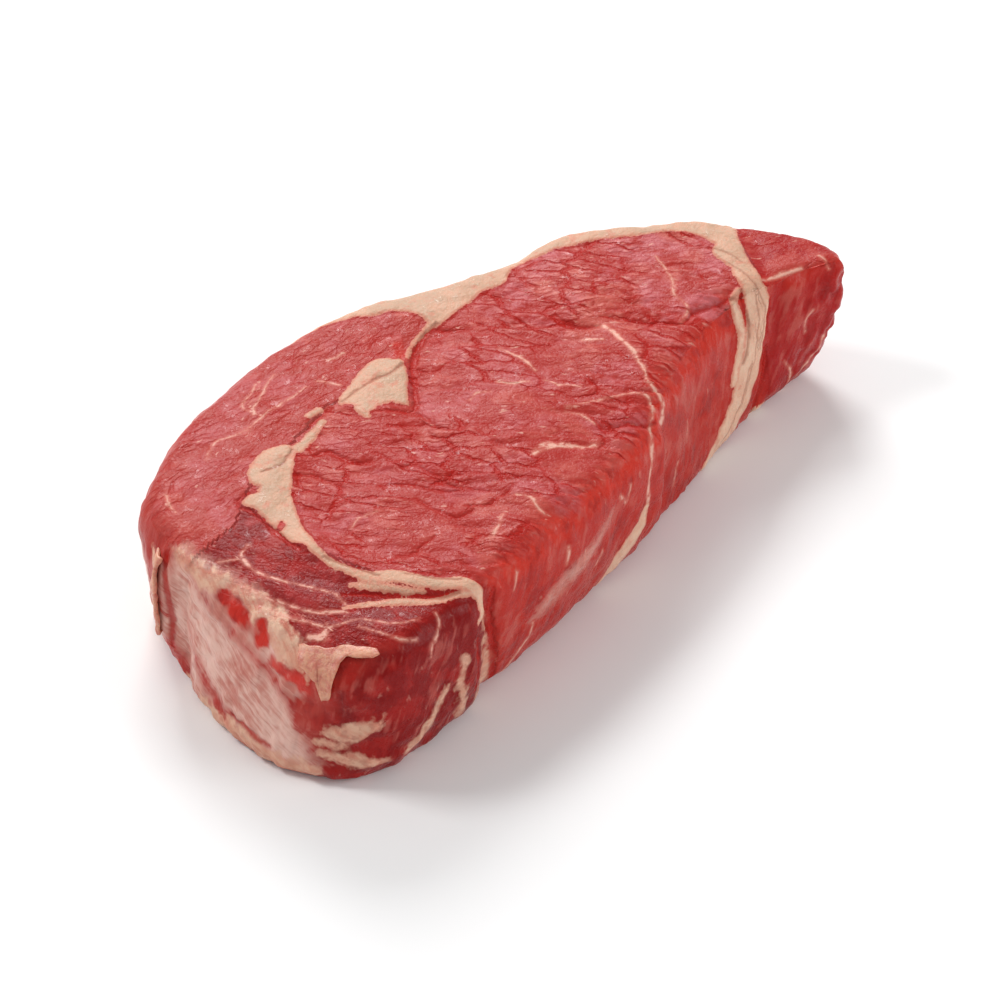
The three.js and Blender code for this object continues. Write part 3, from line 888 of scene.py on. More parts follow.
@dataclass(frozen=True)
class BeefFinish:
    """Raw beef: lean with its grain, fat, veins, dark gaps and silverskin."""

    # Tones of the painted sheen: pink and mauve highlight mixed into the lean's colour.
    sheen_salmon: Colour = linear(202, 108, 96)
    sheen_mauve: Colour = linear(196, 108, 112)
    glint: Colour = linear(226, 148, 138)
    deep: Colour = linear(172, 34, 28)
    dusk: Colour = linear(142, 30, 28)
    # Dark red of the fine fissures, also used for painted shade beside the fat's edge.
    fissure_and_shade: Colour = linear(162, 32, 27)
    # Painted shade: fat on the level face takes this darker copy of the fat's colour.
    shaded_top_fat: Colour = linear(196, 159, 134)
    fat: Colour = linear(230, 190, 164)
    fat_warm: Colour = linear(218, 166, 140)
    fat_rim: Colour = linear(206, 122, 102)
    vein: Colour = linear(226, 170, 152)
    vein_thin: Colour = linear(208, 124, 108)
    film: Colour = linear(234, 198, 183)
    film_thin: Colour = linear(194, 124, 110)
    gap: Colour = linear(172, 28, 20)
    # Painted shade for the folds and creases where gaps cross fat.
    crease_shade: Colour = linear(164, 98, 78)

    # The widths of the noise's swellings.
    broad_size: float = 12
    middle_size: float = 3.2
    fine_size: float = 0.9
    torn_size: float = 4.2
    broken_size: float = 2.4
    streak_size: float = 1.0
    patchy_size: float = 6.0
    hue_size: float = 17.0
    blotch_size: float = 7.0
    hang_size: float = 2.0
    ripple_size: float = 1.5
    grit_size: float = 0.5
    slat_area_size: float = 11.0
    flake_area_size: float = 15.0

    # How the fibres of the silverskin and of the hanging side lean and stretch.
    fibre_lean: float = -0.51
    fibre_stretch: Place = (0.35, 0.09, 1.3)
    hang_lean: float = -0.47
    hang_stretch: Place = (1.0, 1.0, 0.16)

    # The grain's bends, as size and reach, and the cells that it cracks into, as length, width and depth.
    wide_bend: Spot = (6.0, 3.2)
    small_bend: Spot = (1.8, 0.8)
    slat: Place = (5.5, 1.9, 14)
    flake: Place = (12, 4.4, 22)
    flake_turn: float = 0.3

    # How far noise moves the edges, and where each cover starts and ends beside its line.
    film_sway: Place = (5.0, 6.0, 9.0)
    film_edge: Spot = (-3.0, 1.6)
    mottle_sway: Spot = (5.5, 4.2)
    mottle_edge: Spot = (-1.3, 0.6)
    fat_sway: Spot = (1.4, 0.9)
    fat_edge: Spot = (-0.16, 0.14)
    fat_depth: Spot = (-1.1, -0.1)
    line_sway: Spot = (1.2, 0.5)
    line_slack: float = 0.7
    vein_softness: float = 1.2
    gap_softness: float = 0.9

    # Heights of the fine relief.
    slat_height: float = 0.08
    flake_height: float = 0.24
    ripple_height: float = 0.32
    fine_height: float = 0.24
    grit_height: float = 0.08
    hang_height: float = 0.35
    fat_heights: Place = (0.42, 0.3, 0.05)
    gap_depth: float = 0.28

    # The surface.
    roughness: float = 0.42
    specular: float = 0.18
    refraction: float = 1.42
    coat: float = 0.25
    coat_roughness: float = 0.16
    bleed: float = 0.12
    bleed_radius: Place = (1.0, 0.3, 0.22)
    bleed_metres: float = 0.0012

    def build(self) -> bpy.types.Material:
        """Make the material.

        Returns:
            The material.
        """
        ground = self._ground(ShaderGraph("raw_beef"))
        graph, middle, fine, wet = ground.graph, ground.middle, ground.fine, ground.wet
        colour, lean_height = self._lean(ground)
        colour, film_cover = self._film(ground, colour)
        colour, mottle_cover = self._mottle(ground, colour)
        colour, vein_cover = self._veins(ground, colour)
        colour, fat_cover, fat_edge = self._fat(ground, colour)
        gap_cover = self._line_cover(ground, "gap", self.gap_softness)
        # Gaps are dark red on lean; where they cross fat, they take painted shade for the fat's folds and
        # creases.
        colour = graph.blend(gap_cover * 0.8, colour, graph.blend(fat_cover, self.gap, self.crease_shade))
        # Painted shade in the ditch just outside the fat's edge.
        shade = fat_edge.rise(-0.1, 0.2) * fat_edge.fall(0.2, 0.9) * (1.0 - gap_cover)
        colour = graph.blend(shade * 0.22, colour, self.fissure_and_shade)
        pale = fat_cover.most(mottle_cover * 0.8).most(vein_cover * 0.6)
        shine_gain = middle.rise(0.52, 0.68) * fine.rise(0.48, 0.62)
        broad_height, fine_height, fat_lift = self.fat_heights
        fat_height = middle.swing(broad_height) + fine.swing(fine_height) + fat_lift
        height = lean_height * (1.0 - fat_cover) + fat_cover * fat_height - gap_cover * self.gap_depth
        return graph.finish(
            {
                "Base Color": colour,
                "Roughness": self.roughness - wet * 0.12 + pale * 0.08 + fine.swing(0.3) - film_cover * 0.06,
                "IOR": self.refraction,
                "Specular IOR Level": self.specular,
                "Coat Weight": shine_gain * self.coat,
                "Coat Roughness": self.coat_roughness,
                "Subsurface Weight": self.bleed,
                "Subsurface Radius": self.bleed_radius,
                "Subsurface Scale": self.bleed_metres,
            },
            height,
        )

    def _ground(self, graph: ShaderGraph) -> Ground:
        """Read the places and regions, and make the noise that all parts share.

        Args:
            graph: the material.

        Returns:
            The shared signals.
        """
        here = graph.places()
        wall, wet, seam = graph.attribute("site").parts()
        fibres = here.turned("X", self.fibre_lean).scaled(self.fibre_stretch)
        return Ground(
            graph,
            here,
            wall,
            wet,
            seam,
            broad=graph.noise(here, self.broad_size, 3),
            middle=graph.noise(here, self.middle_size, 2),
            fine=graph.noise(here, self.fine_size, 2),
            streak=graph.noise(fibres, self.streak_size, 3),
            torn=graph.noise(here, self.torn_size, 3),
            broken=graph.noise(here, self.broken_size, 3),
        )

    def _film(self, ground: Ground, colour: Signal) -> tuple[Signal, Signal]:
        """Lay the silverskin over the colour, and give it with the silverskin's cover.

        Args:
            ground: the places and noise.
            colour: the colour so far.

        Returns:
            The new colour and the cover.
        """
        graph, middle, streak, broad = ground.graph, ground.middle, ground.streak, ground.broad
        by_middle, by_streak, by_broad = self.film_sway
        ragged = middle.swing(by_middle) + streak.swing(by_streak) + broad.swing(by_broad)
        cover = (graph.attribute("film", "Fac") + ragged).fall(*self.film_edge)
        tone = (streak * 0.35 + middle * 0.2 + broad * 0.45).rise(0.38, 0.6)
        cover = cover * (0.9 - ground.wet * 0.35)
        return graph.blend(cover, colour, graph.blend(tone, self.film_thin, self.film)), cover

    def _mottle(self, ground: Ground, colour: Signal) -> tuple[Signal, Signal]:
        """Lay the crumbly fat over the colour, and give it with that fat's cover.

        Args:
            ground: the places and noise.
            colour: the colour so far.

        Returns:
            The new colour and the cover.
        """
        graph, torn, broken = ground.graph, ground.torn, ground.broken
        by_torn, by_broken = self.mottle_sway
        edge = graph.attribute("mottle", "Fac") + torn.swing(by_torn) + broken.swing(by_broken)
        cover = edge.fall(*self.mottle_edge)
        tone = graph.blend((ground.streak * 0.4 + torn * 0.6).rise(0.4, 0.6), self.fat, self.fat_rim)
        tone = graph.blend(ground.wall * 0.6, tone, self.fat_warm)
        crumbly = 0.65 + broken.rise(0.36, 0.56) * 0.3
        return graph.blend(cover * crumbly, colour, tone), cover

    def _veins(self, ground: Ground, colour: Signal) -> tuple[Signal, Signal]:
        """Lay the veins over the colour, and give it with the veins' cover.

        Args:
            ground: the places and noise.
            colour: the colour so far.

        Returns:
            The new colour and the cover.
        """
        broken = 0.45 + ground.broken.rise(0.36, 0.54) * 0.55
        cover = self._line_cover(ground, "vein", self.vein_softness) * broken
        tone = ground.graph.blend(cover.rise(0.35, 0.95), self.vein_thin, self.vein)
        return ground.graph.blend(cover, colour, tone), cover

    def _fat(self, ground: Ground, colour: Signal) -> tuple[Signal, Signal, Signal]:
        """Lay the solid fat over the colour, and give it with that fat's cover and edge distance.

        Args:
            ground: the places and noise.
            colour: the colour so far.

        Returns:
            The new colour, the cover and the distance to the fat's edge.
        """
        graph, middle = ground.graph, ground.middle
        by_middle, by_fine = self.fat_sway
        edge = graph.attribute("fat", "Fac") + middle.swing(by_middle) + ground.fine.swing(by_fine)
        cover = edge.fall(*self.fat_edge)
        depth = edge.fall(*self.fat_depth)
        # Painted shade: level fat is darker than upright fat.
        tone = graph.blend(ground.wall.rise(0.1, 0.8), self.shaded_top_fat, self.fat)
        warmth = (ground.broad * 0.5 + middle * 0.5).rise(0.36, 0.62) * 0.75 + 0.25
        tone = graph.blend(warmth, self.fat_warm, tone)
        tone = graph.blend(depth * 0.75 + 0.25, self.fat_rim, tone)
        tone = graph.blend(ground.torn.rise(0.56, 0.7) * 0.5, tone, self.fat_rim)
        return graph.blend(cover, colour, tone), cover, edge

    def _line_cover(self, ground: Ground, name: str, softness: float) -> Signal:
        """Show where the strands of one tissue lie.

        Args:
            ground: the places and noise.
            name: the attribute with side, distance and half width.
            softness: the width of the strand's soft edge.

        Returns:
            1 on a strand and 0 off it.
        """
        side, distance, half = ground.graph.attribute(name).parts()
        by_middle, by_fine = self.line_sway
        wobble = ground.middle.swing(by_middle) + ground.fine.swing(by_fine)
        edge = abs(side + wobble).most(distance - self.line_slack) - half * (0.1 + ground.middle * 1.7)
        return edge.fall(-softness * 0.6, softness * 0.6)

    def _lean(self, ground: Ground) -> tuple[Signal, Signal]:
        """Make the lean's colour and its height in millimetres.

        Args:
            ground: the places and noise.

        Returns:
            The colour and the height.
        """
        graph, here, wall, fine = ground.graph, ground.here, ground.wall, ground.fine
        grain = graph.attribute("grain")
        bent = grain
        for size, reach in (self.wide_bend, self.small_bend):
            bent = bent.moved(graph.noise(grain, size, 2, "Color").scaled((reach, reach, reach)))
        face = (1.0 - wall) * (1.0 - ground.seam * 0.9)
        slats = self._cracks(graph, bent, self.slat)
        slat_area = graph.noise(grain.scaled((1.0, 1.0, 0.4)), self.slat_area_size, 2).rise(0.43, 0.6) * face
        flakes = self._cracks(graph, bent.turned("Z", self.flake_turn), self.flake) + fine.swing(0.1)
        _, openness, _ = graph.attribute("plate").parts()
        flake_area = graph.noise(here, self.flake_area_size, 2).rise(0.42, 0.56) * face * openness

        ripple = graph.noise(bent.scaled((0.45, 1.0, 0.5)), self.ripple_size, 2)
        hang = graph.noise(here.turned("Y", self.hang_lean).scaled(self.hang_stretch), self.hang_size, 2)
        shine = graph.attribute("lean", "Alpha")
        colour = self._lean_tone(ground, ripple, hang, shine)
        flake_lip = flakes.rise(0.1, 0.17) * flakes.fall(0.17, 0.3) * flake_area
        slat_lip = slats.rise(0.2, 0.3) * slats.fall(0.3, 0.45) * slat_area
        lit = (flake_lip * 0.6 + slat_lip * 0.4) * ripple.rise(0.4, 0.6) * shine
        thread = slats.fall(0.02, 0.17) * slat_area * fine.rise(0.3, 0.5)
        crack = flakes.fall(0.03, 0.12) * flake_area
        flecks = graph.noise(bent.scaled((0.35, 1.0, 0.4)), self.ripple_size, 2)
        fleck = flecks.rise(0.66, 0.76) * (1.0 - wall * 0.6)
        for share, strength, tone in (
            (lit, 0.45, self.glint),
            (thread, 0.6, self.fissure_and_shade),
            (crack, 0.9, self.gap),
            (fleck, 0.6, self.vein),
        ):
            colour = graph.blend(share * strength, colour, tone)

        rise = slats.rise(0.0, 0.15) * self.slat_height * slat_area
        rise = rise + flakes.rise(0.0, 0.1) * self.flake_height * flake_area
        grit = graph.noise(here, self.grit_size, 2)
        waves = ripple.swing(self.ripple_height) + fine.swing(self.fine_height) + grit.swing(self.grit_height)
        return colour, rise + waves * (1.0 - wall * 0.8) + (hang - 0.5) * wall * self.hang_height

    def _lean_tone(self, ground: Ground, ripple: Signal, hang: Signal, shine: Signal) -> Signal:
        """Mix the lean's tones and its painted sheen, before its cracks.

        Args:
            ground: the places and noise.
            ripple: noise that runs along the grain.
            hang: noise that runs down the sides.
            shine: the muscle's share of painted sheen.

        Returns:
            The colour.
        """
        graph, here, wall = ground.graph, ground.here, ground.wall
        patchy = graph.noise(here, self.patchy_size, 3)
        hue = graph.noise(here, self.hue_size, 1)
        blotch = graph.noise(here.scaled((0.6, 0.6, 1.0)), self.blotch_size, 2)
        colour = graph.blend(patchy.rise(0.46, 0.64) * 0.55, graph.attribute("lean", "Color"), self.deep)
        # Painted sheen: patches of pink and mauve highlight mixed into the base colour.
        sheen = (ground.broad * 0.45 + patchy * 0.25 + ripple * 0.3).rise(0.45, 0.6)
        sheen_tone = graph.blend(hue.rise(0.42, 0.56), self.sheen_salmon, self.sheen_mauve)
        colour = graph.blend(sheen * shine * 0.62, colour, sheen_tone)
        # Painted sheen on the sides: pink streaks where the side's fold noise is high.
        soft = (hang * 0.5 + blotch * 0.5).rise(0.52, 0.64) * wall * 0.4
        colour = graph.blend(soft, colour, self.sheen_salmon)
        dark = (hang * 0.4 + blotch * 0.6).fall(0.36, 0.5) * wall * 0.55
        return graph.blend(dark, colour, self.dusk)

    def _cracks(self, graph: ShaderGraph, places: Signal, cell: Place) -> Signal:
        """Measure the distance to the edges of long cells, in shares of a cell.

        Args:
            graph: the material.
            places: the places along, across and below the grain.
            cell: the length, width and depth of a cell.

        Returns:
            The distance, 0 on an edge.
        """
        settings = {"feature": "DISTANCE_TO_EDGE", "voronoi_dimensions": "2D"}
        inputs = {"Vector": places.scaled(tuple(1 / size for size in cell)), "Scale": 1.0}
        return graph.node("ShaderNodeTexVoronoi", settings, inputs)


@dataclass(frozen=True)
class FatSheetFinish:
    """Soft fat of the torn scraps, pinker in patches."""

    pale: Colour = linear(214, 152, 122)
    warm: Colour = linear(194, 108, 90)
    middle_size: float = 2.4
    fine_size: float = 0.8
    middle_height: float = 0.35
    fine_height: float = 0.25
    roughness: float = 0.38
    coat: float = 0.2
    coat_roughness: float = 0.25
    bleed: float = 0.3
    bleed_radius: Place = (1.0, 0.55, 0.4)
    bleed_metres: float = 0.0014

    def build(self) -> bpy.types.Material:
        """Make the material.

        Returns:
            The material.
        """
        graph = ShaderGraph("torn_fat")
        here = graph.places()
        middle = graph.noise(here, self.middle_size, 3)
        fine = graph.noise(here, self.fine_size, 3)
        colour = graph.blend((middle * 0.7 + fine * 0.3).rise(0.36, 0.62), self.warm, self.pale)
        return graph.finish(
            {
                "Base Color": colour,
                "Roughness": self.roughness + fine * 0.2,
                "Coat Weight": self.coat,
                "Coat Roughness": self.coat_roughness,
                "Subsurface Weight": self.bleed,
                "Subsurface Radius": self.bleed_radius,
                "Subsurface Scale": self.bleed_metres,
            },
            middle.swing(self.middle_height) + fine.swing(self.fine_height),
        )


@dataclass(frozen=True)
class FloorFinish:
    """A plain matt floor."""

    colour: Colour = (0.92, 0.92, 0.92, 1.0)
    roughness: float = 0.9

    def build(self) -> bpy.types.Material:
        """Make the material."""
        return ShaderGraph("floor_matt").finish({"Base Color": self.colour, "Roughness": self.roughness})


def select_only(piece: bpy.types.Object) -> None:
    """Make one object the only selected and the active one.

    Args:
        piece: the object.
    """
    bpy.ops.object.select_all(action="DESELECT")
    piece.select_set(True)
    bpy.context.view_layer.objects.active = piece


@contextmanager
def editing() -> Iterator[None]:
    """Edit the active object's mesh."""
    bpy.ops.object.mode_set(mode="EDIT")
    yield
    bpy.ops.object.mode_set(mode="OBJECT")


def apply_modifier(piece: bpy.types.Object, kind: str, **settings: float) -> None:
    """Add a modifier to the active object and apply it.

    Args:
        piece: the active object.
        kind: the modifier's type.
        settings: its properties.
    """
    modifier = piece.modifiers.new(kind.lower(), kind)
    for key, value in settings.items():
        setattr(modifier, key, value)
    bpy.ops.object.modifier_apply(modifier=modifier.name)


def read_vectors(values: bpy.types.bpy_prop_collection, key: str) -> np.ndarray:
    """Read a vector from each item, one in a row.

    Args:
        values: the items.
        key: the vector's name.

    Returns:
        The vectors.
    """
    flat = np.empty(len(values) * 3)
    values.foreach_get(key, flat)
    return flat.reshape(-1, 3)


def read_places(mesh: bpy.types.Mesh) -> np.ndarray:
    """Read the vertices in millimetres."""
    return read_vectors(mesh.vertices, "co") / MM


def write_places(mesh: bpy.types.Mesh, places: np.ndarray) -> None:
    """Write the vertices, given in millimetres."""
    mesh.vertices.foreach_set("co", (places * MM).ravel())
    mesh.update()


@dataclass
class Flesh:
    """The body of the steak."""

    finish: BeefFinish = field(default_factory=BeefFinish)
    name: str = "steak_flesh"
    levels: int = 2
    merge_metres: float = 1e-6
    base_merge_metres: float = 2e-6
    quad_turn: float = 1.2
    base_height: float = 0.05
    base_grid: float = 2.0
    base_jitter: float = 0.3
    base_margin: float = 0.6
    base_seed: int = 5
    noise: LatticeNoise = LatticeNoise(11)
    fold_noise: LatticeNoise = LatticeNoise(29)
    plates: Plates = field(default_factory=Plates)
    slip: Slip = Slip()

    # Where the muscles meet.
    border_blur: float = 0.8
    seam_half: float = 1.3
    cap_end: float = 18
    tail_start: float = -8

    # Where the level faces turn into the sides, as the normal's upright share.
    face_turn: Spot = (0.93, 0.5)
    relief_turn: Spot = (0.75, 0.35)
    rim_turn: Spot = (0.9, 0.4)
    near_turn: Spot = (-0.1, -0.5)
    least_wet: float = 0.25

    # Heights of the relief.
    swell: float = 0.4
    small_swell: float = 0.22
    flake_step: float = 0.42
    flake_tilt: float = 0.16
    flake_drop: float = 0.25
    ridge: float = 0.2
    fold: float = 0.45
    fat_rise: float = 0.14
    fat_waves: float = 0.26
    ditch: float = 0.12
    vein_rise: float = 0.1
    gap_cut: float = 0.1
    gap_cut_share: float = 0.45
    foot: Spot = (0.2, 5)

    def build(self, node: bpy.types.Object) -> bpy.types.Object:
        """Model and dress the body.

        Args:
            node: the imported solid.

        Returns:
            The finished body.
        """
        piece = self._copy(node)
        self._refine(piece)
        self._close_base(piece)
        mesh = piece.data
        places, normals = read_places(mesh), read_vectors(mesh.vertex_normals, "vector")
        faces = [tuple(face.vertices) for face in mesh.polygons]
        skin = Skin(places, normals, BVHTree.FromPolygons([Vector(row) for row in (places * MM)], faces))
        fields = self._fields(skin)
        self._paint(mesh, skin, fields)
        self._sculpt(mesh, skin, fields)
        mesh.materials.clear()
        mesh.materials.append(self.finish.build())
        select_only(piece)
        bpy.ops.object.shade_smooth()
        log.info("%s: %d vertices, %d faces", self.name, len(mesh.vertices), len(mesh.polygons))
        return piece

    def _copy(self, node: bpy.types.Object) -> bpy.types.Object:
        """Copy the solid as a mesh of its own, free of its parent.

        Args:
            node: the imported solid.

        Returns:
            The copy.
        """
        select_only(node)
        bpy.ops.object.duplicate()
        piece = bpy.context.view_layer.objects.active
        bpy.ops.object.parent_clear(type="CLEAR_KEEP_TRANSFORM")
        bpy.ops.object.transform_apply(location=True, rotation=True, scale=True)
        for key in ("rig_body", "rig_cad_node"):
            if key in piece:
                del piece[key]
        piece.name = piece.data.name = self.name
        return piece

    def _refine(self, piece: bpy.types.Object) -> None:
        """Merge the triangles, open the base and refine what is left.

        Args:
            piece: the body.
        """
        select_only(piece)
        with editing():
            bpy.ops.mesh.select_all(action="SELECT")
            bpy.ops.mesh.remove_doubles(threshold=self.merge_metres)
            bpy.ops.mesh.select_all(action="DESELECT")
            bpy.ops.mesh.select_mode(type="FACE")
        places = read_places(piece.data)
        for face in piece.data.polygons:
            face.select = bool(places[list(face.vertices), 2].max() < self.base_height)
        with editing():
            bpy.ops.mesh.delete(type="FACE")
            bpy.ops.mesh.select_all(action="SELECT")
            bpy.ops.mesh.tris_convert_to_quads(face_threshold=self.quad_turn, shape_threshold=self.quad_turn)
        apply_modifier(piece, "SUBSURF", levels=self.levels, render_levels=self.levels)

    def _close_base(self, piece: bpy.types.Object) -> None:
        """Fill the open base with a fine flat mesh, and the small holes that are left beside it.

        Args:
            piece: the body.
        """
        mesh = piece.data
        ring = self._open_ring(mesh)
        outline = read_places(mesh)[ring][:, :2]
        spans = zip(outline.min(axis=0), outline.max(axis=0))
        columns, rows = (np.arange(low, high, self.base_grid) for low, high in spans)
        spots = np.stack(np.meshgrid(columns, rows), axis=-1).reshape(-1, 2)
        shake = np.random.default_rng(self.base_seed).uniform(-1, 1, spots.shape)
        spots = spots + self.base_grid * self.base_jitter * shake
        inside = patch_edge(spots[:, 0], spots[:, 1], tuple(map(tuple, outline)))
        spots = np.vstack((outline, spots[inside < -self.base_grid * self.base_margin]))
        count = len(ring)
        cycle = [(i, (i + 1) % count) for i in range(count)]
        whole = [list(range(count))]
        corners, _, faces, *_ = delaunay_2d_cdt([Vector(spot) for spot in spots], cycle, whole, 1, 1e-7)
        base = bpy.data.meshes.new("base")
        places = [(corner.x * MM, corner.y * MM, 0.0) for corner in corners]
        base.from_pydata(places, [], [list(face) for face in faces])
        patch = bpy.data.objects.new("base", base)
        bpy.context.collection.objects.link(patch)
        for index in ring:
            mesh.vertices[index].co.z = 0.0
        select_only(piece)
        patch.select_set(True)
        bpy.ops.object.join()
        with editing():
            bpy.ops.mesh.select_all(action="SELECT")
            bpy.ops.mesh.remove_doubles(threshold=self.base_merge_metres)
            bpy.ops.mesh.fill_holes(sides=0)
            bpy.ops.mesh.normals_make_consistent(inside=False)

    def _open_ring(self, mesh: bpy.types.Mesh) -> list[int]:
        """Find the vertices round the open base, in order, without the small loops beside it.

        Args:
            mesh: the body's mesh.

        Returns:
            The numbers of the vertices.
        """
        uses = np.zeros(len(mesh.edges), dtype=int)
        loops = np.empty(len(mesh.loops), dtype=int)
        mesh.loops.foreach_get("edge_index", loops)
        np.add.at(uses, loops, 1)
        joined: dict[int, list[int]] = {}
        for index in np.flatnonzero(uses == 1):
            first, last = mesh.edges[int(index)].vertices
            joined.setdefault(first, []).append(last)
            joined.setdefault(last, []).append(first)
        start = next(iter(joined))
        ring, before, now = [start], start, joined[start][0]
        while now != start:
            ring.append(now)
            before, now = now, next(v for v in joined[now] if v != before)
        log.info("open base: %d of %d edge points in the ring", len(ring), len(joined))
        return ring

    def _fields(self, skin: Skin) -> dict[Tissue, StrandField]:
        """Measure the vertices against all strands and patches.

        Args:
            skin: the vertices.

        Returns:
            How they lie to the strands of each tissue.
        """
        fields = {Tissue.FILM: skin.field(FILM_STRANDS, 3.0)}
        for tissue, lines in ((Tissue.LEAN, LEAN_STRANDS), (Tissue.MOTTLE, MOTTLE_STRANDS)):
            fields[tissue] = skin.field(lines)
        through = {Tissue.FAT: FAT_STRANDS, Tissue.VEIN: VEIN_STRANDS, Tissue.GAP: GAP_STRANDS}
        for tissue, lines in through.items():
            under = [strand.under(self.slip) for strand in lines]
            fields[tissue] = skin.field(lines + [strand for strand in under if strand])
        x, y, z = skin.places.T
        x = x + np.where(z < 6, 3.5 * self.noise.at(skin.places, 24), 0)
        y = y + np.where(z < 6, 3.5 * self.fold_noise.at(skin.places, 24), 0)
        off_face = np.where(z > 20, np.maximum(34 - z, 0), np.maximum(z - 4, 0)) * 1.4
        edge = fields[Tissue.FAT].edge
        for outline in FAT_PATCHES.values():
            edge = np.minimum(edge, patch_edge(x, y, outline) + off_face + (skin.level < 0.15) * 2.0)
        lean = -fields[Tissue.LEAN].edge - 0.8 * self.noise.at(skin.places, 2.2) + 0.3
        fields[Tissue.FAT].edge = np.maximum(edge, lean)
        for tissue in (Tissue.MOTTLE, Tissue.FILM):
            fields[tissue].edge = np.maximum(fields[tissue].edge, lean * 2)
        return fields

    def _borders(self, places: np.ndarray) -> tuple[np.ndarray, np.ndarray, np.ndarray]:
        """Measure how far each place lies beyond the cap's, the lip's and the tail's line.

        Args:
            places: one place in a row.

        Returns:
            The three distances.
        """
        x, y, _ = places.T
        cap = y - np.interp(x, CAP_LINE_X, CAP_LINE_Y)
        return cap, x - np.interp(y, LIP_LINE_Y, LIP_LINE_X), x - np.interp(y, TAIL_LINE_Y, TAIL_LINE_X)

    def _regions(self, places: np.ndarray) -> dict[str, np.ndarray]:
        """Share the vertices among the muscles, softly.

        Args:
            places: one place in a row.

        Returns:
            Each muscle's share, by its name.
        """
        cap, lip, tail = self._borders(places)
        blur = self.border_blur
        cap = np.where(places[:, 0] > self.cap_end, 0, ease(-blur, blur, cap))
        lip = ease(blur, -blur, lip) * (1 - cap)
        tail = ease(-blur, blur, tail) * (places[:, 1] < self.tail_start)
        return {"cap": cap, "lip": lip, "tail": tail, "eye": 1 - np.maximum(np.maximum(cap, lip), tail)}

    def _seams(self, places: np.ndarray) -> np.ndarray:
        """Show the lines between the muscles, 1 on a line and 0 off it.

        Args:
            places: one place in a row.

        Returns:
            The strength of the lines.
        """
        cap, lip, tail = self._borders(places)
        shown = (places[:, 0] < self.cap_end + 1, cap < 1, places[:, 1] < self.tail_start)
        lines = zip((cap, lip, tail), shown)
        return np.maximum.reduce([bell(offset, self.seam_half) * here for offset, here in lines])

    def _shared(self, regions: dict[str, np.ndarray], key: str) -> np.ndarray:
        """Mix one property of the muscles by their shares."""
        return sum(np.multiply.outer(regions[name], getattr(muscle, key)) for name, muscle in MUSCLES.items())

    def _paint(self, mesh: bpy.types.Mesh, skin: Skin, fields: dict[Tissue, StrandField]) -> None:
        """Write the lines, colours and grain that the material reads.

        Args:
            mesh: the body's mesh.
            skin: its vertices.
            fields: how they lie to the strands of each tissue.
        """
        x, y, z = skin.places.T
        regions = self._regions(skin.places)
        wall = ease(*self.face_turn, skin.level)
        near = ease(*self.near_turn, skin.normals[:, 1])
        lip_side = ease(-52, -60, x) * near
        side = np.multiply.outer(near, NEAR_SIDE) + np.multiply.outer(1 - near, FAR_SIDE)
        side = tinted(side, LIP_SIDE, lip_side)
        side = tinted(side, TAIL_SIDE, ease(74, 80, x) * near)
        tone = tinted(self._shared(regions, "colour"), side, wall)
        # Painted light: the shoulder's slope that faces the near side is tinted a brighter orange-red.
        shoulder_light = bell(skin.level - 0.62, 0.3) * (z > 20) * (1 - lip_side) * near
        tone = tinted(tone, SHOULDER_LIGHT, shoulder_light, 0.7)
        spot = ease(2.2, -1.2, fields[Tissue.LEAN].edge + 1.6 * self.fold_noise.at(skin.places, 2.4))
        tone = tinted(tone, BLOTCH, spot, 0.8)
        # Painted sheen: each muscle's share, mostly on the level face and stronger towards high x.
        sheen = self._shared(regions, "sheen") * (1 - 0.9 * wall) * (0.78 + 0.6 * ease(10, 60, x))
        angles = np.full(len(x), math.radians(MUSCLES["eye"].grain_degrees))
        for name, muscle in MUSCLES.items():
            angles = np.where(regions[name] > 0.5, math.radians(muscle.grain_degrees), angles)
        along = x * np.cos(angles) + y * np.sin(angles) + z * 0.18
        across = y * np.cos(angles) - x * np.sin(angles)
        grain = np.stack((along, across, z), axis=1)
        gape, offset = self.plates.measure(grain)
        wet = np.maximum(wall * near, self.least_wet)
        layers = {
            "lean": np.column_stack((tone[:, :3], sheen)),
            "plate": np.stack((gape, self._shared(regions, "openness"), offset), axis=1),
            "grain": grain,
            "site": np.stack((wall, wet, self._seams(skin.places)), axis=1),
        }
        layers |= {tissue.value: fields[tissue].edge for tissue in (Tissue.FAT, Tissue.FILM, Tissue.MOTTLE)}
        layers |= {tissue.value: fields[tissue].packed() for tissue in (Tissue.VEIN, Tissue.GAP)}
        for name, values in layers.items():
            self._write(mesh, name, values)

    def _write(self, mesh: bpy.types.Mesh, name: str, values: np.ndarray) -> None:
        """Store a number, a vector or a colour a vertex under a name.

        Args:
            mesh: the body's mesh.
            name: the attribute's name.
            values: one value or row for each vertex.
        """
        kinds = {1: ("FLOAT", "value"), 3: ("FLOAT_VECTOR", "vector"), 4: ("FLOAT_COLOR", "color")}
        kind, key = kinds[values.size // len(values)]
        layer = mesh.attributes.new(name, kind, "POINT")
        layer.data.foreach_set(key, np.ascontiguousarray(values, dtype=np.float32).ravel())

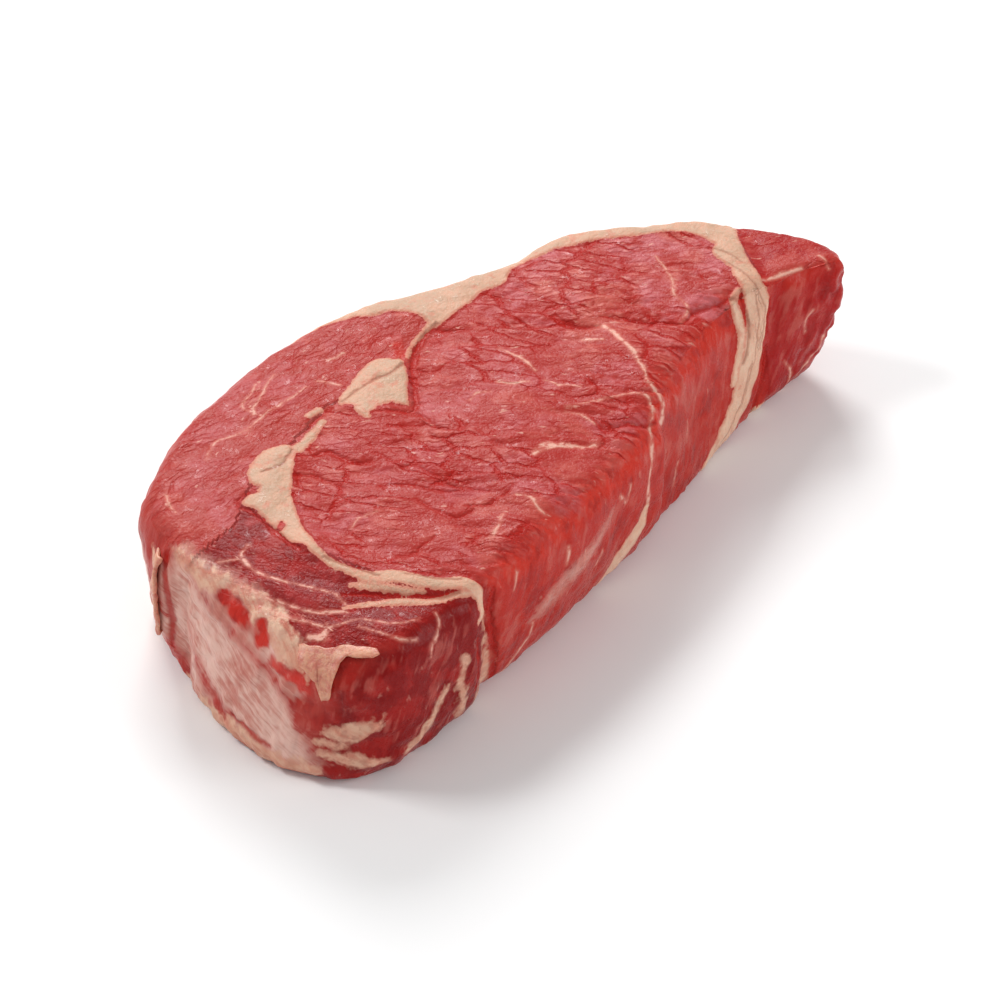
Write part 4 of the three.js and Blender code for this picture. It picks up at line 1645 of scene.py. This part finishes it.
    def _sculpt(self, mesh: bpy.types.Mesh, skin: Skin, fields: dict[Tissue, StrandField]) -> None:
        """Raise and cut the surface along its muscles, seams and gaps.

        Args:
            mesh: the body's mesh.
            skin: its vertices.
            fields: how they lie to the strands of each tissue.
        """
        places, normals, level = skin.places, skin.normals, skin.level
        noise, folds = self.noise.at, self.fold_noise.at
        wall = ease(*self.relief_turn, level)
        off_seam = 1 - self._seams(places)
        fat, vein, gap = fields[Tissue.FAT], fields[Tissue.VEIN], fields[Tissue.GAP]
        is_fat = ease(0.4, -0.7, fat.edge)
        grain, plate = (read_vectors(mesh.attributes[name].data, "vector") for name in ("grain", "plate"))
        gape, openness, offset = plate.T
        flakes = self.flake_step * ease(0, 1.1, gape) + self.flake_tilt * np.clip(offset, -1.8, 1.8)
        shown = openness * ease(-0.5, 0.4, folds(places, 10)) * (1 - wall)
        flakes = (flakes - self.flake_drop) * shown * off_seam
        ridges = noise(grain, (9, 2.6, 15)) * (self.ridge - 0.06 * wall) * off_seam
        gap_depth = self.gap_cut + self.gap_cut_share * gap.half
        gap_shape = -gap_depth * bell(gap.distance, 0.7 * gap.half + 0.35)
        shapes = (
            self.swell * noise(places, 21) + self.small_swell * folds(places, 8),
            (ridges + flakes) * (1 - is_fat),
            folds(grain, (7, 7, 26)) * self.fold * wall,
            is_fat * (self.fat_rise + self.fat_waves * noise(places, 3.2)),
            -self.ditch * bell(fat.edge - 0.7, 0.6) * (1 - 0.5 * wall),
            ease(1.5, -2, fields[Tissue.MOTTLE].edge) * (0.25 + 0.6 * folds(places, 3.6)),
            self.vein_rise * np.clip(vein.half, 0, 1) * bell(vein.distance, vein.half + 0.35),
            gap_shape,
        )
        x, _, z = places.T
        low = ease(*self.foot, z)
        moved = places + normals * (sum(shapes) * low)[:, None]
        ragged = (noise(places, (3.2, 3.2, 9)) * 1.2 + folds(places, 1.7) * 0.5) * (1 - low)
        crumbs = noise(places, (3.0, 3.0, 2.4)) + folds(places, 1.6) * 0.4
        ragged += crumbs * (0.25 + 0.6 * ease(82, 98, x) + 0.3 * ease(-86, -96, x)) * low
        out = normals[:, :2] / np.maximum(np.linalg.norm(normals[:, :2], axis=1, keepdims=True), 1e-6)
        moved[:, :2] += out * (ragged * ease(*self.rim_turn, level))[:, None]
        resting = (z < self.base_height) & (normals[:, 2] < -0.95)
        moved[:, 2] = np.where(resting, np.maximum(-gap_shape - 0.3, 0) * 0.5, np.maximum(moved[:, 2], 0))
        write_places(mesh, moved)


@dataclass
class TornSheet:
    """A thin torn scrap of fat that is held along one edge and hangs along the other."""

    name: str
    held: tuple[Place, ...]
    free: tuple[Place, ...]
    thickness: float = 1.1
    lift: float = 0.9
    columns: int = 34
    rows: int = 9
    seed: int = 3
    tear: float = 0.16
    tear_size: float = 3.0
    waves: float = 0.25
    wave_size: float = 2.2

    def build(self, body: bpy.types.Object, material: bpy.types.Material) -> bpy.types.Object:
        """Lay the scrap on the body and dress it.

        Args:
            body: the finished body.
            material: the scrap's material.

        Returns:
            The scrap.
        """
        bpy.ops.object.select_all(action="DESELECT")
        bpy.ops.mesh.primitive_grid_add(x_subdivisions=self.columns, y_subdivisions=self.rows, size=2)
        piece = bpy.context.view_layer.objects.active
        piece.name = piece.data.name = self.name
        shares = (read_places(piece.data)[:, :2] * MM + 1) / 2
        held, free = (self._along(np.array(line), shares[:, 0]) for line in (self.held, self.free))
        noise = LatticeNoise(self.seed)
        spots = held + (free - held) * shares[:, 1:2]
        ragged = noise.at(np.column_stack((shares[:, 0] * 40, spots[:, 1], spots[:, 2])), self.tear_size)
        spots = spots + (free - held) * (ragged * self.tear * shares[:, 1] ** 3)[:, None]
        tree = BVHTree.FromObject(body, bpy.context.evaluated_depsgraph_get())
        raised = []
        for spot, share in zip(spots, shares[:, 1]):
            near, normal, _, _ = tree.find_nearest(Vector(spot * MM))
            lift = self.lift * share - 0.35 * (1 - share) + 0.15
            raised.append(np.array(near) / MM + np.array(normal) * lift)
        waves = self.waves * noise.at(spots, self.wave_size)[:, None] * shares[:, 1:2]
        write_places(piece.data, np.array(raised) + waves)
        self._thicken(piece)
        piece.data.materials.append(material)
        log.info("%s: %d faces", self.name, len(piece.data.polygons))
        return piece

    def _along(self, line: np.ndarray, shares: np.ndarray) -> np.ndarray:
        """Read the places along a line at shares of its count of points."""
        steps = np.arange(len(line))
        return np.stack([np.interp(shares * steps[-1], steps, axis) for axis in line.T], axis=1)

    def _thicken(self, piece: bpy.types.Object) -> None:
        """Give the sheet its thickness, round it and face it outwards.

        Args:
            piece: the scrap.
        """
        select_only(piece)
        apply_modifier(piece, "SOLIDIFY", thickness=self.thickness * MM, offset=0.0)
        apply_modifier(piece, "SUBSURF", levels=1, render_levels=1)
        with editing():
            bpy.ops.mesh.select_all(action="SELECT")
            bpy.ops.mesh.normals_make_consistent(inside=False)
        bpy.ops.object.shade_smooth()


SCRAPS = (
    TornSheet(
        "shoulder_flap",
        (
            (-96, -21, 35), (-95.5, -22, 35.5), (-95.5, -23.5, 35.5), (-95, -25, 36), (-94.5, -26, 36),
            (-94.5, -27.5, 36), (-94, -28.5, 36.5), (-93.5, -29.5, 36.5), (-92.5, -30.5, 37),
            (-91.5, -32, 37), (-91, -34, 37), (-89.5, -36.5, 37), (-89, -38.5, 37),
        ),
        (
            (-98.5, -23, 33), (-99.5, -24.5, 32), (-100, -27, 31.5), (-100.5, -29.5, 30),
            (-100.5, -30.5, 26.5), (-100.5, -32.5, 27), (-100, -33, 30), (-97.5, -33, 33),
            (-95.5, -32.5, 34.5), (-94, -33.5, 35.5), (-92.5, -35.5, 36), (-91, -38.5, 36),
            (-89.5, -39.5, 36.5),
        ),
        thickness=0.8,
        columns=49,
    ),
    TornSheet(
        "end_strip",
        ((-87, 28, 35), (-89.5, 27, 30), (-90.5, 26.5, 24), (-91, 26, 18), (-91, 25.5, 12)),
        ((-88.5, 24.5, 34), (-91, 24, 30), (-92, 23.5, 24), (-92, 23.5, 17), (-91.5, 24, 12.5)),
        lift=1.2,
        seed=8,
    ),
)


@dataclass(frozen=True)
class Lamp:
    """A soft square light, placed and sized in metres."""

    place: Place
    size: float
    watts: float


@dataclass
class Studio:
    """Floor, light and camera. Places and sizes are in metres, the lens and its sensor in millimetres."""

    aim: Place = (-0.0117, -0.0199, 0.0201)
    eye: Place = (-0.7061, -0.4972, 0.7272)
    lens: float = 160.0
    sensor: float = 36.0
    floor_size: float = 8.0
    floor_drop: float = 0.00005
    sky: float = 0.42
    sky_colour: Colour = (1.0, 1.0, 1.0, 1.0)
    lamps: tuple[Lamp, ...] = (
        Lamp((0.8, 0.85, 0.88), 0.6, 14.6),
        Lamp((-0.45, 0.95, 1.15), 0.4, 9.3),
        Lamp((0.42, -1.26, 0.7), 0.7, 6.7),
        Lamp((-0.9, -0.9, 0.8), 0.9, 1.5),
    )

    def build(self) -> None:
        """Make the floor, the light and the camera."""
        bpy.ops.object.select_all(action="DESELECT")
        bpy.ops.mesh.primitive_plane_add(size=self.floor_size, location=(0, 0, -self.floor_drop))
        floor = bpy.context.view_layer.objects.active
        floor.name = "floor"
        floor.data.materials.append(FloorFinish().build())
        for number, lamp in enumerate(self.lamps):
            bpy.ops.object.light_add(type="AREA", location=lamp.place)
            light = self._aimed(lamp.place)
            light.name = f"lamp_{number}"
            light.data.size = lamp.size
            light.data.energy = lamp.watts
        scene = bpy.context.scene
        scene.world = scene.world or bpy.data.worlds.new("sky")
        scene.world.use_nodes = True
        background = scene.world.node_tree.nodes["Background"]
        background.inputs["Color"].default_value = self.sky_colour
        background.inputs["Strength"].default_value = self.sky
        bpy.ops.object.camera_add(location=self.eye)
        camera = self._aimed(self.eye)
        camera.data.lens = self.lens
        camera.data.sensor_width = self.sensor
        scene.camera = camera
        scene.view_settings.view_transform = "Standard"
        log.info("studio: %d lamps", len(self.lamps))

    def _aimed(self, place: Place) -> bpy.types.Object:
        """Turn the lamp or camera just added towards the steak, and give it.

        Args:
            place: where it stands.

        Returns:
            The lamp or camera.
        """
        added = bpy.context.view_layer.objects.active
        added.rotation_euler = (Vector(self.aim) - Vector(place)).to_track_quat("-Z", "Y").to_euler()
        return added


def main() -> None:
    """Build the steak, its scraps and the studio, in order."""
    logging.basicConfig(level=logging.INFO, format="%(name)s: %(message)s")
    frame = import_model()
    body = Flesh().build(frame["nodes"]["steak"])
    torn = FatSheetFinish().build()
    pieces = [body] + [scrap.build(body, torn) for scrap in SCRAPS]
    for piece in pieces:
        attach(piece, "root")
        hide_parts("steak")
    Studio().build()


if __name__ == "__main__":
    main()
